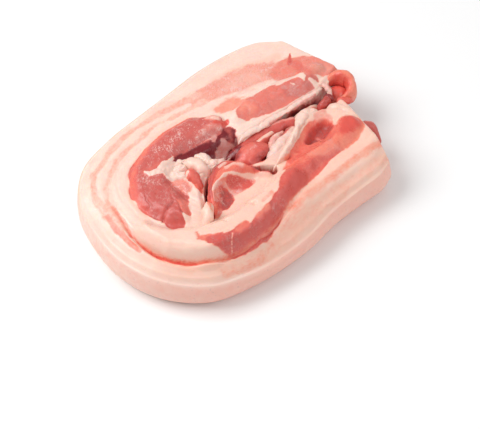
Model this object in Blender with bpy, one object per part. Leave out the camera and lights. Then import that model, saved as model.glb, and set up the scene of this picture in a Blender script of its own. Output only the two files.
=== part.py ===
"""A slab of raw pork belly: a thick strip folded on itself, with the rind outside.

The strip lies on one cut side, so the layers show on its upper side. It runs from the far end, round
the bend on the left, to the near end. A narrow crevice is left where its inner side meets itself.
+X runs from the bend to the two ends, -Y is the near side and +Z is up. The origin is the middle of
the slab's box on the surface that it lies on.
Run it with blender --background --python part.py, or from Blender's text editor.
"""

import bmesh
import bpy
import numpy as np
from mathutils import Matrix, Vector

# Driving dimensions, in metres.
LENGTH = 0.218
THICKNESS = 0.047

# Everything below is in millimetres as cut. The whole is brought to the driving dimensions at the end.

# Ribs across the strip, from the far end round the bend to the near end: the plan place of the rind,
# then that of the inner side, which faces the crevice.
RIBS = (
    ((79, 67), (98, 14)),
    ((66, 76), (77, 7)),
    ((44, 79), (46, 5)),
    ((18, 78), (20, 3.5)),
    ((-10, 73), (2, 0)),
    ((-38, 68), (-10, -3)),
    ((-64, 63), (-20, -6)),
    ((-90, 53), (-29, -10)),
    ((-106, 33), (-35, -16)),
    ((-111, 7), (-39, -23)),
    ((-110, -20), (-42, -30)),
    ((-101, -45), (-44, -35)),
    ((-86, -64), (-43.5, -37)),
    ((-68, -76), (-41, -35)),
    ((-44, -81), (-38, -28)),
    ((-20, -82), (-29.5, -14)),
    ((4, -80), (-12, -6.5)),
    ((26, -75), (14, 0)),
    ((50, -73), (42, 2)),
    ((67, -72), (64, 3)),
    ((79, -68), (81, -5)),
)

# Sampling: stations along the strip, points round each section, and rings that close an end.
STATIONS = 88
TOP_POINTS = 32
INNER_WALL_POINTS = 4
UNDERSIDE_POINTS = 6
RIND_POINTS = 6
END_RINGS = 4

# Heights, each with its share of the way along the strip.
RIND_EDGE_HEIGHT = ((0.0, 36), (0.3, 37), (0.5, 34), (0.6, 30), (0.73, 23), (0.86, 26), (1.0, 30))
SHOULDER_HEIGHT = ((0.0, 38), (0.3, 40), (0.5, 40), (0.6, 37), (0.8, 37), (1.0, 38))
SHOULDER_WIDTH = 16.0

# How far each edge of the section is drawn in, and the height where the rind bulges furthest. The
# foot's has its share of the way along.
RIND_FOOT_INSET = ((0.0, 6), (0.6, 7), (0.75, 8), (1.0, 10))
RIND_TOP_INSET = 3.0
INNER_INSET = 1.2
BULGE_HEIGHT = 16.0
EDGE_ROUNDING = 4.0
END_ROUNDING = 3.0

# The cleft between the outer belt and the inner cushion: its distance from the rind and its depth,
# each with its share of the way along.
BELT_WIDTH = ((0.42, 26), (0.52, 17), (0.6, 14), (0.7, 15), (0.8, 24), (0.9, 31), (1.0, 34))
CLEFT_DEPTH = ((0.46, 0), (0.56, 9), (0.72, 9), (0.82, 4), (0.9, 0))
CLEFT_HALF_WIDTH = 3.0

# Masses of lean and fat that stand above the cut side: a chain of discs (x, y, radius) that runs
# along each, then the height of its crown.
MASSES = {
    "bend_muscle": (((-2, 20, 12), (-20, 26, 14), (-42, 25, 14), (-58, 13, 15), (-65, -3, 14),
                     (-63, -18, 12), (-57, -27, 8)), 45.0),
    "near_cushion": (((-84, -20, 8), (-76, -40, 12), (-58, -55, 16), (-32, -58, 16),
                      (-6, -50, 14), (16, -43, 10)), 47.0),
    "near_lobe": (((-38, -30, 8), (-28, -21, 11), (-13, -21, 10)), 46.0),
    "near_ridge": (((14, -41, 8), (34, -38, 8), (54, -37, 8), (70, -31, 10)), 42.0),
    "flap_ridge": (((26, -24, 5), (40, -15, 6), (54, -9, 6), (64, -8, 5)), 41.0),
    "far_lean": (((20, 22, 9), (36, 24, 11), (55, 24, 10), (74, 20, 9), (86, 24, 8)), 43.0),
}
PILLOW_WIDTH = 9.0

# Hollows in the cut side: a chain of discs (x, y, radius), then the height of its floor.
HOLLOWS = {
    "crevice_valley": (((-4, -8, 6), (12, -13, 8), (28, -9, 8), (46, -2, 6), (76, -4, 7)), 33.0),
    "flap_cavity": (((44, -25, 5), (56, -21, 6)), 34.0),
    "lobe_pit": (((-40, 0, 6), (-28, 2, 6), (-14, 1, 5)), 36.0),
}
HOLLOW_WIDTH = 6.0

# Torn bits of lean at the two ends: the middle (x, y, z) of each, its radii, and its turn about Z.
END_BITS = {
    "far_knob": ((93, 7, 28), (12, 15, 10), 15.0),
    "near_tongue": ((82, -36, 23), (6, 7, 5), -35.0),
}
BIT_SEGMENTS = 20
BIT_RINGS = 12


def smooth_step(x):
    """Rise from 0 to 1 with level ends, as x goes from 0 to 1."""
    x = np.clip(x, 0.0, 1.0)
    return x * x * (3.0 - 2.0 * x)


def along(stations, share):
    """Value at each share of the way along the strip, joined through the stated stations."""
    places, values = np.array(stations, float).T
    return np.interp(share, places, values)


def curve_through(points, at):
    """Catmull-Rom curve through the points, at parameters from 0 at the first to 1 at the last."""
    points = np.array(points, float)
    padded = np.vstack([2 * points[0] - points[1], points, 2 * points[-1] - points[-2]])
    place = np.clip(at, 0.0, 1.0) * (len(points) - 1)
    span = np.minimum(place.astype(int), len(points) - 2)
    u = (place - span)[:, None]
    a, b, c, d = (padded[span + k] for k in range(4))
    curve = 2 * b + (c - a) * u + (2 * a - 5 * b + 4 * c - d) * u**2
    return 0.5 * (curve + (3 * b - a - 3 * c + d) * u**3)


def even_parameters(points, count):
    """Parameters that space the stations evenly along the curve through the points."""
    fine = np.linspace(0.0, 1.0, 40 * count)
    steps = np.linalg.norm(np.diff(curve_through(points, fine), axis=0), axis=1)
    travelled = np.concatenate([[0.0], np.cumsum(steps)])
    return np.interp(np.linspace(0.0, travelled[-1], count), travelled, fine)


def reach_into(x, y, chain):
    """How deep each place lies inside a chain of discs, whose radius changes evenly between them."""
    deepest = np.full(x.shape, -np.inf)
    for (ax, ay, a_radius), (bx, by, b_radius) in zip(chain[:-1], chain[1:]):
        dx, dy = bx - ax, by - ay
        share = np.clip(((x - ax) * dx + (y - ay) * dy) / (dx * dx + dy * dy), 0.0, 1.0)
        distance = np.hypot(x - ax - share * dx, y - ay - share * dy)
        deepest = np.maximum(deepest, a_radius + share * (b_radius - a_radius) - distance)
    return deepest


def cut_side_height(share, depth, rib_length, x, y):
    """Height of the upper cut side: the slope in from the rind, masses, hollows and the cleft."""
    edge = along(RIND_EDGE_HEIGHT, share)
    shoulder = along(SHOULDER_HEIGHT, share)
    height = edge + (shoulder - edge) * smooth_step(depth / SHOULDER_WIDTH)
    for chain, crown in MASSES.values():
        rise = smooth_step(reach_into(x, y, chain) / PILLOW_WIDTH)
        height = height + np.maximum(crown - height, 0.0) * rise
    for chain, floor in HOLLOWS.values():
        fall = smooth_step(reach_into(x, y, chain) / HOLLOW_WIDTH)
        height = height + np.minimum(floor - height, 0.0) * fall
    off_cleft = (depth - along(BELT_WIDTH, share)) / CLEFT_HALF_WIDTH
    height = height - along(CLEFT_DEPTH, share) * np.exp(-off_cleft**2)
    rounding = 2.0 - smooth_step(depth / EDGE_ROUNDING) - smooth_step((rib_length - depth) / EDGE_ROUNDING)
    return height - 0.7 * EDGE_ROUNDING * rounding


def sections():
    """Closed section of the strip at each station, as an array of station, point and x, y, z."""
    outer_points = np.array([outer for outer, _ in RIBS], float)
    inner_points = np.array([inner for _, inner in RIBS], float)
    at = even_parameters((2 * outer_points + inner_points) / 3, STATIONS)
    outer = curve_through(outer_points, at)[:, None, :]
    inner = curve_through(inner_points, at)[:, None, :]
    rib_length = np.linalg.norm(inner - outer, axis=2)
    inward = (inner - outer) / rib_length[..., None]
    share = np.linspace(0.0, 1.0, STATIONS)[:, None]

    top_width = rib_length - RIND_TOP_INSET - INNER_INSET
    depth = top_width * np.linspace(0.0, 1.0, TOP_POINTS)
    top = outer + inward * (RIND_TOP_INSET + depth)[..., None]
    top_z = cut_side_height(share, depth, top_width, top[..., 0], top[..., 1])

    down = np.linspace(1.0, 0.0, INNER_WALL_POINTS + 2)[1:-1]
    inner_z = down * top_z[:, -1:]
    inner_wall = inner - inward * (INNER_INSET * (2.0 * down - 1.0) ** 2)[:, None]

    foot_inset = along(RIND_FOOT_INSET, share)
    under_depth = foot_inset + (rib_length - foot_inset - INNER_INSET) * np.linspace(1.0, 0.0, UNDERSIDE_POINTS)
    underside = outer + inward * under_depth[..., None]
    under_z = np.zeros(under_depth.shape)

    rind_z = np.linspace(0.0, 1.0, RIND_POINTS + 2)[1:-1] * top_z[:, :1]
    below = np.clip(1.0 - rind_z / BULGE_HEIGHT, 0.0, 1.0)
    above = np.clip((rind_z - BULGE_HEIGHT) / (top_z[:, :1] - BULGE_HEIGHT), 0.0, 1.0)
    rind_inset = foot_inset * below**2 + RIND_TOP_INSET * above**2
    rind = outer + inward * rind_inset[..., None]

    plan = np.concatenate([top, inner_wall, underside, rind], axis=1)
    heights = np.concatenate([top_z, inner_z, under_z, rind_z], axis=1)
    return np.concatenate([plan, heights[..., None]], axis=2)


def end_rings(section, before):
    """Rings that close an end, from the section outwards: its rounded edge, then its flat cut face."""
    outward = section.mean(axis=0) - before.mean(axis=0)
    outward = np.array([outward[0], outward[1], 0.0])
    outward = outward / np.linalg.norm(outward)
    middle = section.mean(axis=0)
    shares = np.linspace(0.0, 1.0, END_RINGS + 1)[1:]
    rings = [
        middle + (section - middle) * (1.0 - 0.7 * share**2) + outward * END_ROUNDING * np.sin(1.5 * share)
        for share in shares
    ]
    return rings, middle + outward * END_ROUNDING


def slab_mesh():
    """Skin over all the sections, with a fan of triangles in the middle of each end."""
    strip = sections()
    far_rings, far_tip = end_rings(strip[0], strip[1])
    near_rings, near_tip = end_rings(strip[-1], strip[-2])
    rings = np.concatenate([far_rings[::-1], strip, near_rings])

    work = bmesh.new()
    grid = [[work.verts.new(point) for point in ring] for ring in rings]
    tips = [work.verts.new(tip) for tip in (far_tip, near_tip)]
    around = len(grid[0])
    for k in range(around):
        after = (k + 1) % around
        for ring, following in zip(grid[:-1], grid[1:]):
            work.faces.new((ring[k], following[k], following[after], ring[after]))
        work.faces.new((tips[0], grid[0][k], grid[0][after]))
        work.faces.new((tips[1], grid[-1][after], grid[-1][k]))
    bmesh.ops.recalc_face_normals(work, faces=work.faces)
    mesh = bpy.data.meshes.new("pork_belly_slab")
    work.to_mesh(mesh)
    work.free()
    return mesh


def add_end_bit(slab, cutters, name, middle, radii, turn):
    """Join a torn bit of lean to the slab: a squashed sphere, turned about the vertical."""
    mesh = bpy.data.meshes.new(name)
    work = bmesh.new()
    place = (Matrix.Translation(middle) @ Matrix.Rotation(np.radians(turn), 4, "Z")
             @ Matrix.Diagonal(Vector((*radii, 1.0))))
    bmesh.ops.create_uvsphere(work, u_segments=BIT_SEGMENTS, v_segments=BIT_RINGS, radius=1.0, matrix=place)
    work.to_mesh(mesh)
    work.free()
    bit = bpy.data.objects.new(name, mesh)
    bit.hide_render = True
    bit.display_type = "WIRE"
    cutters.objects.link(bit)
    join = slab.modifiers.new(name, "BOOLEAN")
    join.operation = "UNION"
    join.object = bit


def raw_pork():
    """Raw lean and fat seen from a distance: pale salmon pink, moist."""
    material = bpy.data.materials.new("raw_pork")
    material.use_nodes = True
    shader = material.node_tree.nodes["Principled BSDF"]
    shader.inputs["Base Color"].default_value = (0.80, 0.42, 0.33, 1.0)
    shader.inputs["Roughness"].default_value = 0.4
    shader.inputs["Metallic"].default_value = 0.0
    return material


def centre_and_size(slab):
    """Apply the joins, bring the slab to its driving dimensions and stand the origin under its box."""
    whole = bpy.data.meshes.new_from_object(slab.evaluated_get(bpy.context.evaluated_depsgraph_get()))
    slab.modifiers.clear()
    slab.data = whole
    corners = np.array([vertex.co for vertex in whole.vertices])
    low, high = corners.min(axis=0), corners.max(axis=0)
    whole.transform(Matrix.Translation((-(low[0] + high[0]) / 2, -(low[1] + high[1]) / 2, -low[2])))
    plan_scale, height_scale = LENGTH / (high[0] - low[0]), THICKNESS / (high[2] - low[2])
    whole.transform(Matrix.Diagonal((plan_scale, plan_scale, height_scale, 1.0)))


def collection(name):
    made = bpy.data.collections.new(name)
    bpy.context.scene.collection.children.link(made)
    return made


def main():
    for old in list(bpy.data.objects):
        bpy.data.objects.remove(old)
    parts = collection("pork belly slab")
    cutters = collection("end bits")
    slab = bpy.data.objects.new("pork_belly_slab", slab_mesh())
    slab.data.materials.append(raw_pork())
    parts.objects.link(slab)
    for name, (middle, radii, turn) in END_BITS.items():
        add_end_bit(slab, cutters, name, middle, radii, turn)
    bpy.context.view_layer.update()
    centre_and_size(slab)
    slab.data.shade_smooth()


main()
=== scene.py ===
"""A slab of raw pork belly, folded round on itself, in a bright studio.

All shapes are worked out in plan millimetres, the frame in which the slab was cut and measured, and
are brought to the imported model's box at the end. In that frame +X runs from the bend to the two ends,
-Y is the near side and +Z is up. The strip of belly is carried round the fold by ribs, its colours and
relief are laid on by marks, and the pieces that stand free of it are profiles carried along paths.
"""

import math

import bpy
import numpy as np
from bpy.props import FloatProperty, FloatVectorProperty, PointerProperty
from bpy.types import Operator, Panel, PropertyGroup
from mathutils import Matrix, Vector


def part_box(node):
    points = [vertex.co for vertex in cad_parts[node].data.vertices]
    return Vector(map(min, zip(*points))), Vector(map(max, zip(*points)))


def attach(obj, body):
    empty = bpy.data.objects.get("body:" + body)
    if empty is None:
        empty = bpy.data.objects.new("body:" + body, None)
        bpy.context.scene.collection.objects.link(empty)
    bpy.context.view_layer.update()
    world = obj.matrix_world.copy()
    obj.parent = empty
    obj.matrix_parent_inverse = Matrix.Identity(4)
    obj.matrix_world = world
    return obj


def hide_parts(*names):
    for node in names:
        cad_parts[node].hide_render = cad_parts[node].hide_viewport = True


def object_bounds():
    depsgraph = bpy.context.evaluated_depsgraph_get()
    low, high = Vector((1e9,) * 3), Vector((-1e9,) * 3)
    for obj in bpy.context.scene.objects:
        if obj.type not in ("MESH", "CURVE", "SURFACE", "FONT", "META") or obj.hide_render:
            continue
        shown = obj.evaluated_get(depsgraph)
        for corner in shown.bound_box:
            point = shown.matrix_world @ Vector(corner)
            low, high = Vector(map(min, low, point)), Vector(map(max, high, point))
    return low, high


bl_info = {
    "name": "Pork Belly Slab",
    "version": (1, 0, 0),
    "blender": (4, 5, 0),
    "location": "3D View > Sidebar > Pork Belly",
    "description": "Builds a folded slab of raw pork belly and the studio that it is shown in",
    "category": "Add Mesh",
}

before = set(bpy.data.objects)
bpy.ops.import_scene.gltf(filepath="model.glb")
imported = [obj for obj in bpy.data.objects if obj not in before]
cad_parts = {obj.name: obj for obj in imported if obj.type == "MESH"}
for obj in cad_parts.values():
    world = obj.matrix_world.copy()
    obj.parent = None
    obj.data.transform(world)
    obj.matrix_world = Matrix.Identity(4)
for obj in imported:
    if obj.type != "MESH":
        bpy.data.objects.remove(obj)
CAD_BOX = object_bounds()
NODE = "pork_belly_slab"

# The slab's box in plan millimetres: its lowest and highest corners.
PLAN_LOW = np.array([-111.4, -82.0, 0.0])
PLAN_HIGH = np.array([105.2, 79.1, 47.0])

# Ribs across the strip, from the far end round the bend to the near end: the plan place of the rind,
# then that of the inner side, which faces the crevice.
RIBS = (
    ((79, 67), (98, 14)),
    ((66, 76), (77, 7)),
    ((44, 79), (46, 5)),
    ((18, 78), (20, 3.5)),
    ((-10, 73), (2, 0)),
    ((-38, 68), (-10, -3)),
    ((-64, 63), (-20, -6)),
    ((-90, 53), (-29, -10)),
    ((-106, 33), (-35, -16)),
    ((-111, 7), (-39, -23)),
    ((-110, -20), (-42, -30)),
    ((-101, -45), (-44, -35)),
    ((-86, -64), (-43.5, -37)),
    ((-68, -76), (-41, -35)),
    ((-44, -81), (-38, -28)),
    ((-20, -82), (-29.5, -14)),
    ((4, -80), (-12, -6.5)),
    ((26, -75), (14, 0)),
    ((50, -73), (42, 2)),
    ((67, -72), (64, 3)),
    ((76.5, -68), (81, -5)),
)

# Sampling of the strip: stations along it, and points on each face of a section.
STATIONS = 460
TOP_POINTS = 152
INNER_WALL_POINTS = 14
UNDERSIDE_POINTS = 10
RIND_POINTS = 24
END_RINGS = 9

# How much the outline of a free piece wanders, as a share of its half width.
WAVER = 0.5

# Heights, each with its share of the way along the strip.
RIND_EDGE_HEIGHT = ((0.0, 39), (0.3, 40), (0.42, 38), (0.5, 34), (0.6, 30), (0.73, 23), (0.86, 26), (1.0, 30))
SHOULDER_HEIGHT = ((0.0, 38), (0.3, 40), (0.5, 40), (0.6, 37), (0.8, 37), (1.0, 38))
SHOULDER_WIDTH = 16.0

# How far each edge of the section is drawn in, and the height where the rind bulges furthest.
RIND_FOOT_INSET = ((0.0, 6), (0.6, 7), (0.75, 8), (1.0, 10))
RIND_TOP_INSET = 3.0
INNER_INSET = 1.2
BULGE_HEIGHT = 16.0
EDGE_ROUNDING = 4.0
END_ROUNDING = 3.0

# The cleft between the outer belt and the inner cushion: its distance from the rind and its depth,
# each with its share of the way along.
BELT_WIDTH = ((0.42, 26), (0.48, 19), (0.534, 16), (0.58, 13), (0.62, 12.5), (0.7, 10.5), (0.746, 12), (0.8, 18),
              (1.0, 24))
CLEFT_DEPTH = ((0.49, 0), (0.58, 8), (0.70, 8), (0.78, 4), (0.83, 0))
CLEFT_HALF_WIDTH = 2.0

# Masses that stand above the cut side: a chain of discs (x, y, radius), the height of the crown, and
# the width over which the mass rounds up to it.
MASSES = (
    (((-1, 25, 10), (-14, 29, 12), (-30, 29, 12), (-45, 24, 13), (-58, 15, 15), (-64, 3, 14),
      (-62, -8, 14), (-61, -20, 10), (-60, -26, 6)), 44.5, 8.0),
    (((-84, -20, 8), (-76, -40, 12), (-58, -53, 16), (-32, -57, 15), (-6, -50, 13), (14, -44, 10)), 46.0, 10.0),
    (((14, -42, 8), (34, -39, 8), (54, -38, 8), (70, -31, 10)), 42.0, 7.0),
    (((26, -24, 5), (40, -15, 6), (54, -9, 6), (64, -8, 5)), 39.5, 5.0),
    (((-39, -32, 4), (-33, -23, 7), (-21, -16, 9), (-9, -17, 8), (-2, -24, 4), (4, -31, 3)), 46.0, 7.0),
    (((16, 21, 8), (30, 22, 11), (48, 22, 11), (66, 19, 10), (84, 24, 8)), 43.0, 8.0),
)

# Hollows in the cut side: a chain of discs, the height of the floor, and the width of the slope.
HOLLOWS = (
    (((-4, -8, 7), (12, -13, 8), (28, -9, 8), (46, -2, 6), (76, -4, 7)), 31.0, 6.0),
    (((-17, 4, 6), (-8, 4, 9), (3, 5, 7)), 27.0, 11.0),
    (((42, -25, 4), (50, -23.5, 7), (59, -20, 6)), 31.5, 5.0),
    (((-40, 7, 4), (-33, 5, 6), (-22, 4, 7), (-12, 2, 6)), 34.0, 5.0),
    (((-1, -20, 2), (3, -25, 4), (8, -29, 4)), 22.0, 3.0),
    (((-43, -45, 1.5), (-40, -50, 2.5)), 43.6, 3.0),
    (((-24, -45, 1.5), (-20, -50, 3)), 43.8, 3.5),
)


def smooth_step(x):
    """Rise from 0 to 1 with level ends, as x goes from 0 to 1."""
    x = np.clip(x, 0.0, 1.0)
    return x * x * (3.0 - 2.0 * x)


def along(stations, share):
    """Value at each share of the way along the strip: the mean of the line joined through the stated
    stations over a short stretch about the share, which rounds its corners."""
    places, values = np.array(stations, float).T
    return sum(np.interp(share + shift, places, values) for shift in np.linspace(-0.025, 0.025, 7)) / 7.0


def curve_through(points, at):
    """Catmull-Rom curve through the points, at parameters from 0 at the first to 1 at the last."""
    points = np.array(points, float)
    padded = np.vstack([2 * points[0] - points[1], points, 2 * points[-1] - points[-2]])
    place = np.clip(at, 0.0, 1.0) * (len(points) - 1)
    span = np.minimum(place.astype(int), len(points) - 2)
    u = (place - span)[:, None]
    a, b, c, d = (padded[span + k] for k in range(4))
    curve = 2 * b + (c - a) * u + (2 * a - 5 * b + 4 * c - d) * u**2
    return 0.5 * (curve + (3 * b - a - 3 * c + d) * u**3)


def even_parameters(points, count):
    """Parameters that space the stations evenly along the curve through the points."""
    fine = np.linspace(0.0, 1.0, 40 * count)
    steps = np.linalg.norm(np.diff(curve_through(points, fine), axis=0), axis=1)
    travelled = np.concatenate([[0.0], np.cumsum(steps)])
    return np.interp(np.linspace(0.0, travelled[-1], count), travelled, fine)


def reach_into(x, y, chain):
    """How deep each place lies inside a chain of discs, whose radius changes evenly between them."""
    deepest = np.full(np.broadcast(x, y).shape, -np.inf)
    for (ax, ay, a_radius), (bx, by, b_radius) in zip(chain[:-1], chain[1:]):
        dx, dy = bx - ax, by - ay
        share = np.clip(((x - ax) * dx + (y - ay) * dy) / (dx * dx + dy * dy), 0.0, 1.0)
        distance = np.hypot(x - ax - share * dx, y - ay - share * dy)
        deepest = np.maximum(deepest, a_radius + share * (b_radius - a_radius) - distance)
    return deepest


def lattice_noise(points, cell, seed):
    """Value noise from -1 to 1: a seeded random number at each corner of a cubic lattice whose cells
    have the given size (one number, or one for each axis), blended smoothly between the corners."""
    table = np.random.default_rng(seed).uniform(-1.0, 1.0, 4096)
    place = points / np.asarray(cell, float)
    corner = np.floor(place).astype(np.int64)
    share = smooth_step(place - corner)
    total = np.zeros(points.shape[:-1])
    for step in np.ndindex(2, 2, 2):
        weight = np.prod(np.where(np.array(step), share, 1.0 - share), axis=-1)
        at = corner + np.array(step)
        key = (at[..., 0] * 73856093) ^ (at[..., 1] * 19349663) ^ (at[..., 2] * 83492791)
        total += weight * table[key % 4096]
    return total


def layered_noise(points, cell, seed, layers=3):
    """Sum of lattice noises, each half the size and half the strength of the one before."""
    cell = np.asarray(cell, float)
    total = np.zeros(points.shape[:-1])
    for layer in range(layers):
        total += lattice_noise(points, cell / 2**layer, seed + layer) / 2**layer
    return total / (2.0 - 2.0 ** (1 - layers))


# Narrow clefts that part the lean: a chain of places, and the depth and half width of the groove.
CLEFTS = (
    (((-72, -22, 0), (-68, -19, 0), (-61, -16.5, 0), (-58, -15.5, 0)), 1.6, 0.7),
    (((-57.5, -13, 0), (-56, -18, 0), (-58, -23, 0), (-59, -28, 0)), 0.9, 0.6),
    (((-75.5, -8, 0), (-71, -9, 0), (-71.5, -4, 0), (-70, 0, 0)), 0.9, 0.6),
    (((-52, -1, 0), (-53, -9, 0), (-50, -14, 0)), 0.6, 0.6),
    (((-6, 33, 0), (0, 29, 0), (4, 24, 0), (7, 23, 0)), 1.6, 0.8),
    (((-49, -67, 0), (-44, -61, 0)), 0.8, 0.7),
    (((-33, -70, 0), (-29, -61, 0)), 0.8, 0.7),
    (((-16, -64, 0), (-10, -56, 0)), 0.7, 0.7),
)

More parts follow.
